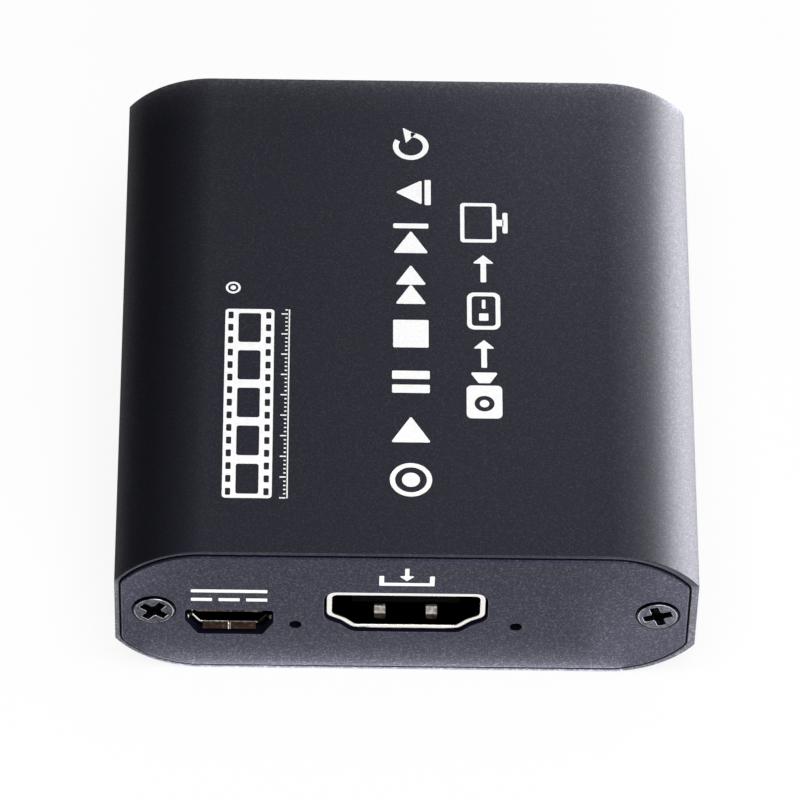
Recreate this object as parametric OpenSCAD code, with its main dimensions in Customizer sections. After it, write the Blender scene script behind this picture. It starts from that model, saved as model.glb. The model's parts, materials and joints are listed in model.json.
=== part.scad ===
// Video capture box with a loop output.
// An extruded tube is closed by two sunk end plates. A board slides into the tube and carries
// four sockets: power and video input at the front, data and video output at the back.
// Frame: +X to the right of the front face, +Y from front to back, +Z up, and the origin is
// in the middle of the underside. All sizes are in millimetres.

/* [Housing] */
// Outside width of the tube
body_width = 55; // [53:0.5:70]
// Outside height of the tube
body_height = 18; // [17.5:0.5:24]
// Length of the tube
body_length = 59; // [57:0.5:80]
// Radius of the four long rounded edges
edge_radius = 8.2; // [7.8:0.1:8.7]
// How far in from the side wall a rounded edge starts
edge_run = 7.3; // [6.6:0.1:7.6]
// Small radius where a rounded edge meets the side wall
side_corner = 0.3; // [0.1:0.05:0.5]
// Thickness of the tube's wall
wall = 1.2; // [1:0.1:1.6]
// Thickness of the rim that is left round an end plate
rim = 0.6; // [0.4:0.05:0.8]

/* [End plates] */
// Thickness of an end plate, and depth of the recess that it sits in
plate_thickness = 1.2; // [1.1:0.1:1.6]
// Gap between an end plate's edge and the rim
plate_gap = 0.2; // [0.1:0.05:0.3]
// Radius of an end plate's corners beside the side walls
plate_corner = 0.9; // [0.5:0.1:1.4]
// Gap between a socket's shell and its cut-out in the end plate
cutout_gap = 0.25; // [0.2:0.05:0.5]
// Gap between the power socket's flared lips and its cut-out
power_cutout_gap = 0.12; // [0.08:0.01:0.2]
// Diameter of an indicator hole
indicator_hole = 1.2; // [0.8:0.1:1.6]

/* [Screws] */
// Distance from the side wall's outer face to a screw's axis
screw_inset = 3.7; // [3.5:0.1:4.2]
// Thread diameter
screw_thread = 2.4; // [2:0.1:2.6]
// Length of a screw under its head
screw_length = 7; // [5:0.5:12]
// Diameter of the flat head
head_diameter = 4; // [3.6:0.1:4.2]
// Height of the cylindrical edge of the head
head_land = 0.25; // [0.2:0.05:0.3]
// How far the head stands off the face of its plate
head_rise = 0.15; // [0.05:0.01:0.18]
// Gap between the head and its countersink
head_gap = 0.12; // [0.05:0.01:0.2]
// Gap between the thread and the screw port's bore
thread_gap = 0.02; // [0.01:0.01:0.05]
// Width of an arm of the cross recess
cross_width = 0.84; // [0.6:0.02:0.9]
// Span of the cross recess
cross_span = 2.8; // [2.4:0.1:3]
// Depth of the cross recess
cross_depth = 0.8; // [0.5:0.1:1]
// Wall of the screw port round its bore
port_wall = 1; // [0.8:0.05:1.2]
// Width of the slit that opens the screw port towards the board
port_slit = 1.2; // [0.8:0.1:1.6]

/* [Board] */
// Thickness of the circuit board
board_thickness = 1.6; // [1:0.1:2]
// Height of the board's upper face above the underside
board_height = 5.9; // [5.6:0.1:6.2]
// Gap between the board's long edge and the side wall
board_side_gap = 0.8; // [0.6:0.1:1.2]
// Gap between the board's end and an end plate
board_end_gap = 0.2; // [0.1:0.05:0.5]
// How far the board's ledges stand in from the side wall
ledge_depth = 2; // [1.6:0.1:2.4]
// Thickness of a ledge
ledge_thickness = 1; // [0.8:0.1:1.2]
// Play of the board under the upper ledge
slot_play = 0.15; // [0.1:0.05:0.25]

/* [Video sockets] */
// Width of the opening
video_width = 14; // [13.5:0.1:14.5]
// Height of the opening
video_height = 4.55; // [4.4:0.05:4.7]
// Height of the opening's straight sides
video_side = 2.875; // [2.7:0.025:3]
// Width between the bends of the opening's lower corners
video_knee_width = 11.5; // [11:0.1:12]
// Depth of those bends below the top of the opening
video_knee_drop = 3.575; // [3.4:0.025:3.7]
// Width of the opening's flat floor
video_floor = 9.5; // [9:0.1:10]
// Thickness of the shell's sheet
video_sheet = 0.5; // [0.3:0.01:0.55]
// Length of the shell
video_length = 11.3; // [10.5:0.1:12]
// Height of the opening's centre above the board
video_axis = 3.05; // [3:0.05:3.4]
// How far the shell's mouth lies behind the plate's face
video_sink = 0.3; // [0.1:0.05:0.6]
// Sideways place of the input socket
video_in_x = 0; // [-1:0.1:1]
// Sideways place of the output socket
video_out_x = 10.5; // [9:0.1:12]
// Width of the tongue
video_tongue_width = 10.2; // [10:0.1:11]
// Thickness of the tongue
video_tongue_thickness = 1; // [0.8:0.05:1.2]

/* [Power socket] */
// Width of the opening
power_width = 6.9; // [6.6:0.1:7.2]
// Height of the opening
power_height = 1.85; // [1.75:0.05:2]
// Height of the opening's straight sides
power_side = 0.7; // [0.6:0.05:1]
// Width of the opening's flat floor
power_floor = 5.4; // [5:0.1:5.6]
// Thickness of the shell's sheet
power_sheet = 0.25; // [0.2:0.01:0.3]
// Length of the shell
power_length = 5.2; // [4.8:0.1:6]
// Gap between the shell and the board
power_lift = 0.1; // [0.05:0.05:0.3]
// How far the flared mouth lies behind the plate's face
power_sink = 0.35; // [0.2:0.05:0.6]
// Length of the flared lips
power_lip = 0.5; // [0.3:0.05:0.7]
// How far the lips flare outwards
power_flare = 0.38; // [0.2:0.01:0.45]
// How far the socket stands outwards of its even place between screw port and video socket
power_shift = 0.08; // [-0.3:0.01:0.3]

/* [Data socket] */
// Width of the opening
data_width = 12.5; // [12.2:0.1:12.8]
// Height of the opening
data_height = 5.12; // [5:0.02:5.3]
// Thickness of the shell's sheet
data_sheet = 0.3; // [0.25:0.01:0.4]
// Length of the shell
data_length = 13.2; // [12.5:0.1:14]
// Gap between the shell and the board
data_lift = 0.35; // [0.1:0.05:0.5]
// How far the shell's mouth lies behind the plate's face
data_sink = 0.3; // [0.1:0.05:0.6]
// Sideways place of the socket
data_x = -10.5; // [-12:0.1:-9]

/* [Indicators] */
// How far an indicator stands outwards of its even place beside the video socket
indicator_shift = 0.2; // [-0.3:0.05:0.3]
// Height of an indicator's light above the board
indicator_axis = 1; // [0.8:0.05:1.2]
// Width of an indicator's body
indicator_width = 3; // [2.4:0.1:3.2]
// Depth of an indicator's body
indicator_depth = 1.3; // [1:0.1:2]
// Height of an indicator's body
indicator_height = 2; // [1.8:0.1:2.4]

/* [Board components] */
// Side of the capture chip's body
capture_side = 7; // [6.5:0.1:7.2]
// Leads along each side of the capture chip
capture_leads = 12; // [8:1:12]
// Side of the repeater chip's body
repeater_side = 10; // [9:0.1:10.2]
// Leads along each side of the repeater chip
repeater_leads = 16; // [12:1:16]
// Thickness of the two large chips
chip_height = 1.4; // [1:0.1:1.6]
// Distance between the leads of the two large chips
chip_pitch = 0.5; // [0.4:0.02:0.5]
// Length of a crystal's can
crystal_length = 10.4; // [9:0.1:11]
// Width of a crystal's can
crystal_width = 3.8; // [3.4:0.1:4]
// Height of a crystal's can
crystal_height = 3.2; // [2.5:0.1:3.4]
// Diameter of the bulk capacitor's can
bulk_diameter = 6.3; // [5:0.1:6.8]
// Height of the bulk capacitor's can
bulk_height = 5.2; // [4.5:0.1:5.8]
// Side of the power inductor
inductor_side = 5; // [4:0.1:5.2]
// Height of the power inductor
inductor_height = 2; // [1.5:0.1:3]
// Length of a chip capacitor or resistor
passive_length = 1.6; // [1.2:0.1:1.8]
// Width of a chip capacitor or resistor
passive_width = 0.8; // [0.6:0.05:0.9]

/* [Hidden] */
$fn = 48;

// Middles of pieces of the given sizes, evenly spread between two bounds
function total(sizes, count) = count == 0 ? 0 : sizes[count - 1] + total(sizes, count - 1);
function spread(sizes, low, high) =
  let (gap = (high - low - total(sizes, len(sizes))) / (len(sizes) + 1))
  [for (i = [0:len(sizes) - 1]) low + (i + 1) * gap + total(sizes, i) + sizes[i] / 2];

// A cut runs this far past the faces that it opens
over = 0.5;
// Steps along each rounded corner of a socket's outline
corner_steps = 6;

// Places that follow from the housing
front_y = -body_length / 2;
rear_y = body_length / 2;
mid_z = body_height / 2;
edge_x = body_width / 2 - edge_run;
edge_z = mid_z - edge_radius;
inner_side = body_width / 2 - wall;
plate_inset = rim + plate_gap;
recess_corner = plate_corner + plate_gap;
cavity_corner = 0.5;

// Screws and their ports
screw_x = body_width / 2 - screw_inset;
bore_radius = screw_thread / 2 + thread_gap;
port_radius = bore_radius + port_wall;
port_x = screw_x - port_radius;
head_cone = (head_diameter - screw_thread) / 2;
screw_tip = 0.4;
cross_floor = 0.35;
// How far each screw's cross is turned, left and right
front_turns = [53, 19];
rear_turns = [-15, 40];

// Board and its ledges
board_bottom = board_height - board_thickness;
board_half = inner_side - board_side_gap;
board_front = front_y + plate_thickness + board_end_gap;
board_rear = rear_y - plate_thickness - board_end_gap;
ledge_x = inner_side - ledge_depth;
leg_hole_gap = 0.1;

// Parts that every socket has: spring fingers cut from the shell, and legs through the board
finger_start = 0.8;
finger_length = 4;
finger_lift = 0.5;
finger_slit = 0.2;
finger_crest = [0.3, 0.48];
finger_tail = 0.15;
leg_width = 1.2;
leg_past_board = 0.5;
insulator_gap = 0.02;
contact_gap = 0.03;
contact_sheet = 0.12;
contact_tail = 1;

// Power socket and indicator in the free width between a screw port and the video input
front_places = spread([power_width + 2 * power_sheet, indicator_width], -port_x,
                      -video_width / 2 - video_sheet);

// Video sockets
video_radii = [0.5, 0.5, 0.5, 2, 0.5, 0.5, 2, 0.5];
video_points = let (w = video_width / 2, t = video_height / 2, k = video_knee_width / 2)
  [[w, t], [-w, t], [-w, t - video_side], [-k, t - video_knee_drop], [-video_floor / 2, -t],
   [video_floor / 2, -t], [k, t - video_knee_drop], [w, t - video_side]];
video_finger_width = 1.1;
video_floor_fingers = [-2.45, 2.45];
video_roof_fingers = [-3.1, 3.1];
video_fingers = [
  for (x = video_floor_fingers) [0, x, video_height / 2],
  for (x = video_roof_fingers) [180, x, video_height / 2]
];
video_leg_rows = [3, 9];
video_tongue_start = 1.4;
video_block_start = 6.8;
video_foot = 1.2;
video_contact_start = 1.8;
video_contact_width = 0.28;
video_contact_pitch = 1;
video_upper_count = 10;
video_lower_count = 9;
video_bend = video_length + video_foot + contact_gap;
video_tail = video_bend + contact_tail;

// Power socket
power_x = front_places[0] - power_shift;
power_axis = power_lift + power_sheet + power_height / 2;
power_radii = [0.3, 0.3, 0.25, 0.25, 0.25, 0.25];
power_points = let (w = power_width / 2, t = power_height / 2)
  [[w, t], [-w, t], [-w, t - power_side], [-power_floor / 2, -t], [power_floor / 2, -t],
   [w, t - power_side]];
power_leg_rows = [1.6, 3.8];
power_tongue_start = 1.2;
power_tongue_width = 3.8;
power_tongue_thickness = 0.6;
power_tongue_rise = 0.4;
power_block_start = 3;
power_foot = 0.4;
power_contact_start = 1.5;
power_contact_width = 0.35;
power_contact_pitch = 0.65;
power_contact_count = 5;
power_bend = power_length + power_foot + contact_gap;
power_tail = power_bend + contact_tail;

// Data socket
data_axis = data_lift + data_sheet + data_height / 2;
data_radii = [0.4, 0.4, 0.4, 0.4];
data_points = let (w = data_width / 2, t = data_height / 2) [[w, t], [-w, t], [-w, -t], [w, -t]];
data_finger_width = 1.6;
data_finger_places = [-3.3, 3.3];
data_fingers = [
  for (x = data_finger_places, a = [0, 180]) [a, x, data_height / 2],
  for (a = [90, 270]) [a, 0, data_width / 2]
];
data_leg_rows = [7.5];
data_tongue_start = 1;
data_tongue_width = 11.1;
data_tongue_thickness = 1.84;
data_tongue_rise = 1.1;
data_block_start = 9.3;
data_foot = 1.2;
data_contact_start = 1.8;
data_contact_width = 1;
data_contact_places = [-3.5, -1, 1, 3.5];
data_bend = data_length + data_foot + contact_gap;
data_tail = data_bend + contact_tail;

// Indicators
indicator_x = indicator_shift - front_places[1];
indicator_lens = 0.5;
indicator_gap = 0.6;

// Surge arrays behind the contact feet of the video sockets
surge_from_tail = 1.1;
surge_spread = [-2.4, 2.4];

// Sizes of the smaller components
chip_standoff = 0.1;
chip_lead = [0.22, 0.14];
chip_lead_shoulder = 0.25;
chip_lead_reach = 1;
chip_mark = [0.5, 0.1, 1.1];
memory_size = [4.9, 3.9, 1.4];
memory_lead_pitch = 1.27;
memory_lead_width = 0.42;
regulator_size = [6.5, 3.5, 1.6];
regulator_lead_pitch = 2.3;
regulator_lead_width = 0.7;
regulator_tab_width = 3;
regulator_lead_reach = 1.7;
small_lead_sheet = 0.25;
crystal_flange = 0.4;
crystal_flange_height = 0.5;
bulk_base_rim = 0.15;
bulk_base_height = 1.3;
bulk_base_seat = 0.9;
bulk_base_cut = 1.4;
bulk_vent_depth = 0.15;
inductor_cut = 0.6;
inductor_core = 1.8;
inductor_groove = [0.3, 0.1];
diode_size = [2.6, 4.3, 2.1];
diode_terminal = 0.3;
surge_size = [2.5, 1, 0.5];
passive_end = 0.3;
passive_wrap = 0.05;
capacitor_height = 0.8;
resistor_height = 0.45;
memory_lead_count = 4;
regulator_lead_count = 3;

// Layout of the board: columns between the screw ports, rows between the sockets' contact feet
row_step = 2.1;
stack_step = 1.9;
power_row_gap = 1.2;

// Chip parts side by side across the board, or stacked along it, as [x, y, angle]
function across(x, y, count) = [for (dx = row(count, row_step)) [x + dx, y, 90]];
function along(x, y, count) = [for (dy = row(count, stack_step)) [x, y + dy, 0]];
function stack_length(count) = (count - 1) * stack_step + passive_width;

capture_span = capture_side + 2 * chip_lead_reach;
repeater_span = repeater_side + 2 * chip_lead_reach;
memory_span = memory_size[1] + 2 * chip_lead_reach;
regulator_span = regulator_size[1] + 2 * regulator_lead_reach;
crystal_span = crystal_length + 2 * crystal_flange;
crystal_breadth = crystal_width + 2 * crystal_flange;
bulk_side = bulk_diameter + 4 * bulk_base_rim;

columns = spread([regulator_size[0], capture_span, passive_length, repeater_span,
                  regulator_size[0]], -port_x, port_x);
surge_reach = video_sink + video_tail + surge_from_tail + surge_size[1] / 2;
data_reach = data_sink + data_tail;

// Row behind the power socket
power_row_y = front_y + power_sink + power_tail + power_row_gap + inductor_side / 2;
power_row_x = spread([diode_size[0], inductor_side], -port_x,
                     video_in_x - video_width / 2 - video_sheet);
diode_at = [power_row_x[0], power_row_y];
inductor_at = [power_row_x[1], power_row_y];

// Left column
left_counts = [3, 2];
left_y = spread([regulator_span, passive_length, memory_span, stack_length(left_counts[1])],
                power_row_y + inductor_side / 2, rear_y - data_reach);
core_regulator_at = [columns[0], left_y[0]];
memory_at = [columns[0], left_y[2]];

// Column of the capture chip, with its crystal and a stack of capacitors side by side
capture_count = 5;
capture_y = spread([crystal_span, capture_span], front_y + surge_reach, rear_y - data_reach);
capture_crystal_at = [columns[1] - (capture_span - crystal_breadth) / 2, capture_y[0]];
capture_stack_x = columns[1] + (capture_span - passive_length) / 2;
capture_at = [columns[1], capture_y[1]];

// Narrow column between the two large chips
middle_count = 4;
middle_y = spread([stack_length(middle_count), stack_length(middle_count)],
                  front_y + surge_reach, rear_y - data_reach);

// Column of the repeater chip
repeater_count = 5;
repeater_y = spread([repeater_span, passive_length, crystal_breadth, passive_length],
                    front_y + surge_reach, rear_y - surge_reach);
repeater_at = [columns[3], repeater_y[0]];
repeater_crystal_at = [columns[3], repeater_y[2]];

// Right column
right_count = 3;
right_y = spread([bulk_side, passive_length, regulator_span, stack_length(right_count),
                  stack_length(right_count)], board_front, rear_y - surge_reach);
bulk_at = [columns[4], right_y[0]];
io_regulator_at = [columns[4], right_y[2]];

capacitor_places = concat(
  across(columns[0], left_y[1], left_counts[0]),
  along(capture_stack_x, capture_y[0], capture_count),
  along(columns[2], middle_y[0], middle_count),
  across(columns[3], repeater_y[1], repeater_count),
  across(columns[4], right_y[1], right_count),
  along(columns[4], right_y[3], right_count)
);
resistor_places = concat(
  along(columns[0], left_y[3], left_counts[1]),
  along(columns[2], middle_y[1], middle_count),
  across(columns[3], repeater_y[3], repeater_count),
  along(columns[4], right_y[4], right_count)
);

// Helpers: extrusions along the part's axes

// A profile drawn in X and Z, carried along Y from y0 to y1
module along_y(y0, y1) {
  translate([0, y1, 0]) rotate([90, 0, 0]) linear_extrude(y1 - y0) children();
}

// A profile drawn in Y and Z, carried along X over a width that is centred on x
module along_x(x, width) {
  translate([x - width / 2, 0, 0]) rotate([90, 0, 90]) linear_extrude(width) children();
}

// A box on the plane z = 0, centred on X and Y
module block(size) {
  translate([-size[0] / 2, -size[1] / 2, 0]) cube(size);
}

// Helpers: outlines with rounded corners, drawn counter-clockwise

function unit(v) = v / norm(v);
function outward(a, b) = let (d = unit(b - a)) [d[1], -d[0]];
function before(points, i) = points[(i + len(points) - 1) % len(points)];
function after(points, i) = points[(i + 1) % len(points)];

// A corner of the outline when every edge moves outwards by d
function moved(points, i, d) =
  let (m = outward(before(points, i), points[i]), n = outward(points[i], after(points, i)))
    points[i] + d * (m + n) / (1 + m * n);

// The angle that the outline turns at a corner: positive where it bulges, negative where it dips
function turn(points, i) =
  let (a = points[i] - before(points, i), b = after(points, i) - points[i])
    atan2(cross(a, b), a * b);

// Points along the arc that rounds a corner
function arc(points, i, r) =
  let (t = turn(points, i),
       m = outward(before(points, i), points[i]),
       start = atan2(m[1], m[0]),
       centre = moved(points, i, -sign(t) * r))
    [for (k = [0:corner_steps]) let (a = start + t * k / corner_steps)
      centre + sign(t) * r * [cos(a), sin(a)]];

// An outline with rounded corners, grown by d with its arcs kept concentric
module rounded(outline, radii, d = 0) {
  corners = [0:len(outline) - 1];
  points = [for (i = corners) moved(outline, i, d)];
  polygon([for (i = corners) each arc(points, i, radii[i] + sign(turn(points, i)) * d)]);
}

// The tube's outline moved inwards: four large arcs cut off by flat side walls, with a fillet
// where an arc meets a side
module tube_outline(inset, fillet) {
  half_width = body_width / 2 - inset;
  arc = edge_radius - inset;
  centre = [half_width - fillet,
            edge_z + sqrt(pow(arc - fillet, 2) - pow(half_width - fillet - edge_x, 2))];
  on_side = [half_width, centre[1]];
  on_arc = [edge_x, edge_z] + arc * unit(centre - [edge_x, edge_z]);
  a = on_side - centre;
  b = on_arc - centre;
  tip = centre + (a + b) * pow(fillet, 2) / (pow(fillet, 2) + a * b);
  translate([0, mid_z]) {
    difference() {
      intersection() {
        square([2 * half_width, body_height], center = true);
        union() {
          square([2 * edge_x, body_height - 2 * inset], center = true);
          square([2 * (edge_x + arc), 2 * edge_z], center = true);
          for (x = [-edge_x, edge_x], z = [-edge_z, edge_z]) translate([x, z]) circle(arc);
        }
      }
      for (x = [-1, 1], z = [-1, 1])
        polygon([for (p = [on_side, centre, on_arc, tip]) [x * p[0], z * p[1]]]);
    }
    for (x = [-1, 1], z = [-1, 1]) translate([x * centre[0], z * centre[1]]) circle(fillet);
  }
}

// Housing

// What stands inside the tube on one side: the screw port and the two ledges of the board's slot
module tube_inside() {
  difference() {
    union() {
      translate([screw_x, mid_z]) circle(port_radius);
      translate([screw_x, mid_z - port_radius]) square([screw_inset, 2 * port_radius]);
      translate([ledge_x, board_bottom - ledge_thickness])
        square([ledge_depth + wall, ledge_thickness]);
      translate([ledge_x, board_height + slot_play])
        square([ledge_depth + wall, mid_z - board_height - slot_play]);
    }
    translate([screw_x, mid_z]) circle(bore_radius);
    translate([screw_x - port_radius - over, mid_z - port_slit / 2])
      square([port_radius + over, port_slit]);
  }
}

module housing() {
  color("#29292d") difference() {
    along_y(front_y, rear_y) difference() {
      tube_outline(0, side_corner);
      difference() {
        tube_outline(wall, cavity_corner);
        tube_inside();
        mirror([1, 0]) tube_inside();
      }
    }
    along_y(front_y - over, front_y + plate_thickness) tube_outline(rim, recess_corner);
    along_y(rear_y - plate_thickness, rear_y + over) tube_outline(rim, recess_corner);
  }
}

// End plates

// A flat plate with its outer face at y = 0 and two countersunk screw holes
module plate_blank() {
  hole = bore_radius + head_gap;
  mouth = head_diameter / 2 + head_gap;
  difference() {
    along_y(0, plate_thickness) tube_outline(plate_inset, plate_corner);
    for (x = [-screw_x, screw_x]) translate([x, 0, mid_z]) rotate([-90, 0, 0]) {
      translate([0, 0, -over]) cylinder(r = hole, h = plate_thickness + 2 * over);
      translate([0, 0, -over]) cylinder(r = mouth, h = over + head_land - head_rise);
      translate([0, 0, head_land - head_rise]) cylinder(r1 = mouth, r2 = hole, h = head_cone);
    }
  }
}

module front_plate() {
  color("#3b3b44") difference() {
    translate([0, front_y, 0]) plate_blank();
    at_front(video_in_x, video_sink) socket_cutout(video_points, video_radii, video_axis,
                                                   video_sheet + cutout_gap);
    at_front(power_x, power_sink) socket_cutout(power_points, power_radii, power_axis,
                                                power_sheet + power_flare + power_cutout_gap);
    for (x = [-indicator_x, indicator_x])
      translate([x, front_y - over, board_height + indicator_axis]) rotate([-90, 0, 0])
        cylinder(d = indicator_hole, h = plate_thickness + 2 * over);
  }
}

module rear_plate() {
  color("#3b3b44") difference() {
    translate([0, rear_y, 0]) rotate([0, 0, 180]) plate_blank();
    at_rear(video_out_x, video_sink) socket_cutout(video_points, video_radii, video_axis,
                                                   video_sheet + cutout_gap);
    at_rear(data_x, data_sink) socket_cutout(data_points, data_radii, data_axis,
                                             data_sheet + cutout_gap);
  }
}

// Screws

// A countersunk screw that points along +Y, with its head's face at the origin
module screw(turn) {
  rotate([-90, 0, 0]) difference() {
    union() {
      cylinder(d = head_diameter, h = head_land);
      translate([0, 0, head_land])
        cylinder(d1 = head_diameter, d2 = screw_thread, h = head_cone);
      translate([0, 0, head_land + head_cone])
        cylinder(d = screw_thread, h = screw_length - screw_tip);
      translate([0, 0, head_land + head_cone + screw_length - screw_tip])
        cylinder(d1 = screw_thread, d2 = screw_thread - 2 * screw_tip, h = screw_tip);
    }
    intersection() {
      for (a = [0, 90]) rotate([0, 0, turn + a])
        translate([-cross_span / 2, -cross_width / 2, -over])
          cube([cross_span, cross_width, over + cross_depth]);
      translate([0, 0, -cross_depth])
        cylinder(r1 = cross_span - cross_floor, r2 = cross_floor, h = 2 * cross_depth);
    }
  }
}

module front_screws() {
  color("#5a5a60") for (i = [0, 1])
    translate([(2 * i - 1) * screw_x, front_y - head_rise, mid_z]) screw(front_turns[i]);
}

module rear_screws() {
  color("#5a5a60") for (i = [0, 1])
    translate([(1 - 2 * i) * screw_x, rear_y + head_rise, mid_z]) rotate([0, 0, 180])
      screw(rear_turns[i]);
}

// Sockets. Each is drawn with its mouth at y = 0, its depth along +Y and the board at z = 0.

module at_front(x, sink) {
  translate([x, front_y + sink, board_height]) children();
}

module at_rear(x, sink) {
  translate([x, rear_y - sink, board_height]) rotate([0, 0, 180]) children();
}

// Hole in an end plate, wider than the opening by a gap all round
module socket_cutout(points, radii, axis, gap) {
  translate([0, 0, axis]) along_y(-plate_thickness, 2 * plate_thickness)
    rounded(points, radii, gap);
}

// A spring finger seen from the side: rooted at the front, bent into the opening, free at the back
module finger_side(sheet) {
  end = finger_start + finger_length;
  rise = finger_start + finger_length * finger_crest[0];
  fall = finger_start + finger_length * finger_crest[1];
  polygon([
    [finger_start - finger_slit, 0], [finger_start - finger_slit, -sheet],
    [finger_start, -sheet], [rise, finger_lift - sheet], [fall, finger_lift - sheet],
    [end, finger_tail - sheet], [end, finger_tail], [fall, finger_lift], [rise, finger_lift],
    [finger_start, 0]
  ]);
}

// A rolled sheet shell with spring fingers. A finger is [angle about Y, place, wall's distance].
module socket_shell(points, radii, sheet, start, length, axis, fingers, finger_width) {
  translate([0, 0, axis]) {
    difference() {
      along_y(start, length) difference() {
        rounded(points, radii, sheet);
        rounded(points, radii);
      }
      for (f = fingers) rotate([0, f[0], 0]) translate([f[1], finger_start, -f[2] - sheet])
        translate([-finger_width / 2 - finger_slit, 0, -sheet])
          cube([finger_width + 2 * finger_slit, finger_length + finger_slit, 3 * sheet]);
    }
    for (f = fingers) rotate([0, f[0], 0]) translate([0, 0, -f[2]])
      along_x(f[1], finger_width) finger_side(sheet);
  }
}

// Legs that go from the shell's sides down through the board, or with a gap the holes for them
module socket_legs(half_width, sheet, rows, top, gap = 0) {
  for (x = [-1, 1], y = rows)
    translate([x * (half_width + sheet / 2) - sheet / 2 - gap, y - leg_width / 2 - gap,
               -board_thickness - leg_past_board - gap])
      cube([sheet + 2 * gap, leg_width + 2 * gap,
            board_thickness + leg_past_board + top + 2 * gap]);
}

// Moulded insulator: a block in the back of the shell, a tongue in front of it and a foot that
// stands on the board behind it. Its children are cut away as slots for the contacts.
module socket_insulator(points, radii, axis, block_start, length, foot, tongue, rise) {
  top = max([for (p = points) p[1]]);
  half_width = max([for (p = points) p[0]]);
  difference() {
    union() {
      translate([0, 0, axis]) along_y(block_start, length)
        rounded(points, radii, -insulator_gap);
      translate([-tongue[0] / 2, tongue[1], axis + rise - tongue[2] / 2])
        cube([tongue[0], block_start - tongue[1] + insulator_gap, tongue[2]]);
      translate([-half_width + insulator_gap, length, 0])
        cube([2 * (half_width - insulator_gap), foot, axis + top - insulator_gap]);
    }
    children();
  }
}

// A strip of sheet seen from the side: level from y0 to a bend, down to the board, then a foot
module bent_strip(y0, bend, end, z, sheet) {
  polygon([[y0, z], [bend, z], [bend, 0], [end, 0], [end, sheet], [bend + sheet, sheet],
           [bend + sheet, z + sheet], [y0, z + sheet]]);
}

// Places of a number of contacts or leads at a pitch, centred on zero
function row(count, pitch) = [for (i = [0:count - 1]) (i - (count - 1) / 2) * pitch];

module contact_row(places, width, y0, bend, end, z, sheet) {
  for (x = places) along_x(x, width) bent_strip(y0, bend, end, z, sheet);
}

// Slots in an insulator for a row of contacts
module contact_slots(places, width, y0, y1, z, sheet) {
  for (x = places) translate([x - width / 2 - contact_gap, y0, z - contact_gap])
    cube([width + 2 * contact_gap, y1 - y0, sheet + 2 * contact_gap]);
}

// Video socket

video_above = row(video_upper_count, video_contact_pitch);
video_below = row(video_lower_count, video_contact_pitch);
video_z_above = video_axis + video_tongue_thickness / 2;
video_z_below = video_axis - video_tongue_thickness / 2 - contact_sheet;

module video_legs(gap = 0) {
  socket_legs(video_width / 2, video_sheet, video_leg_rows, video_axis, gap);
}

module video_shell() {
  color("#d8d6d0") {
    socket_shell(video_points, video_radii, video_sheet, 0, video_length, video_axis,
                 video_fingers, video_finger_width);
    video_legs();
  }
}

module video_insulator() {
  color("#141416")
    socket_insulator(video_points, video_radii, video_axis, video_block_start, video_length,
                     video_foot, [video_tongue_width, video_tongue_start, video_tongue_thickness],
                     0) {
      contact_slots(video_above, video_contact_width, video_block_start, video_bend,
                    video_z_above, contact_sheet);
      contact_slots(video_below, video_contact_width, video_block_start, video_bend,
                    video_z_below, contact_sheet);
    }
}

module video_contacts() {
  color("#c9a24a") {
    contact_row(video_above, video_contact_width, video_contact_start, video_bend, video_tail,
                video_z_above, contact_sheet);
    contact_row(video_below, video_contact_width, video_contact_start, video_bend, video_tail,
                video_z_below, contact_sheet);
  }
}

// Data socket

data_z = data_axis + data_tongue_rise - data_tongue_thickness / 2 - contact_sheet;

module data_legs(gap = 0) {
  socket_legs(data_width / 2, data_sheet, data_leg_rows, data_axis, gap);
}

module data_shell() {
  color("#d8d6d0") at_rear(data_x, data_sink) {
    socket_shell(data_points, data_radii, data_sheet, 0, data_length, data_axis, data_fingers,
                 data_finger_width);
    data_legs();
  }
}

module data_insulator() {
  color("#1a1a1c") at_rear(data_x, data_sink)
    socket_insulator(data_points, data_radii, data_axis, data_block_start, data_length, data_foot,
                     [data_tongue_width, data_tongue_start, data_tongue_thickness],
                     data_tongue_rise)
      contact_slots(data_contact_places, data_contact_width, data_block_start, data_bend, data_z,
                    contact_sheet);
}

module data_contacts() {
  color("#c9a24a") at_rear(data_x, data_sink)
    contact_row(data_contact_places, data_contact_width, data_contact_start, data_bend, data_tail,
                data_z, contact_sheet);
}

// Power socket

power_places = row(power_contact_count, power_contact_pitch);
power_z = power_axis + power_tongue_rise - power_tongue_thickness / 2 - contact_sheet;

module power_legs(gap = 0) {
  socket_legs(power_width / 2, power_sheet, power_leg_rows, power_axis, gap);
}

// A flared lip on one side of the mouth
module power_lip(angle, distance, place, width) {
  rotate([0, angle, 0]) translate([0, 0, -distance]) along_x(place, width) polygon([
    [0, -power_flare], [0, -power_flare - power_sheet], [power_lip, -power_sheet],
    [power_lip + power_sheet, -power_sheet], [power_lip + power_sheet, 0], [power_lip, 0]
  ]);
}

module power_shell() {
  top = power_height / 2;
  wide = power_width / 2;
  side_lip = power_side - power_radii[0];
  side_middle = top - power_side + side_lip / 2;
  color("#c8c6c0") at_front(power_x, power_sink) {
    socket_shell(power_points, power_radii, power_sheet, power_lip, power_length, power_axis, [],
                 0);
    translate([0, 0, power_axis]) {
      power_lip(0, top, 0, power_floor - power_sheet);
      power_lip(180, top, 0, power_width - 2 * power_radii[0]);
      power_lip(90, wide, -side_middle, side_lip);
      power_lip(270, wide, side_middle, side_lip);
    }
    power_legs();
  }
}

module power_insulator() {
  color("#141416") at_front(power_x, power_sink)
    socket_insulator(power_points, power_radii, power_axis, power_block_start, power_length,
                     power_foot, [power_tongue_width, power_tongue_start, power_tongue_thickness],
                     power_tongue_rise)
      contact_slots(power_places, power_contact_width, power_block_start, power_bend, power_z,
                    contact_sheet);
}

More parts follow.
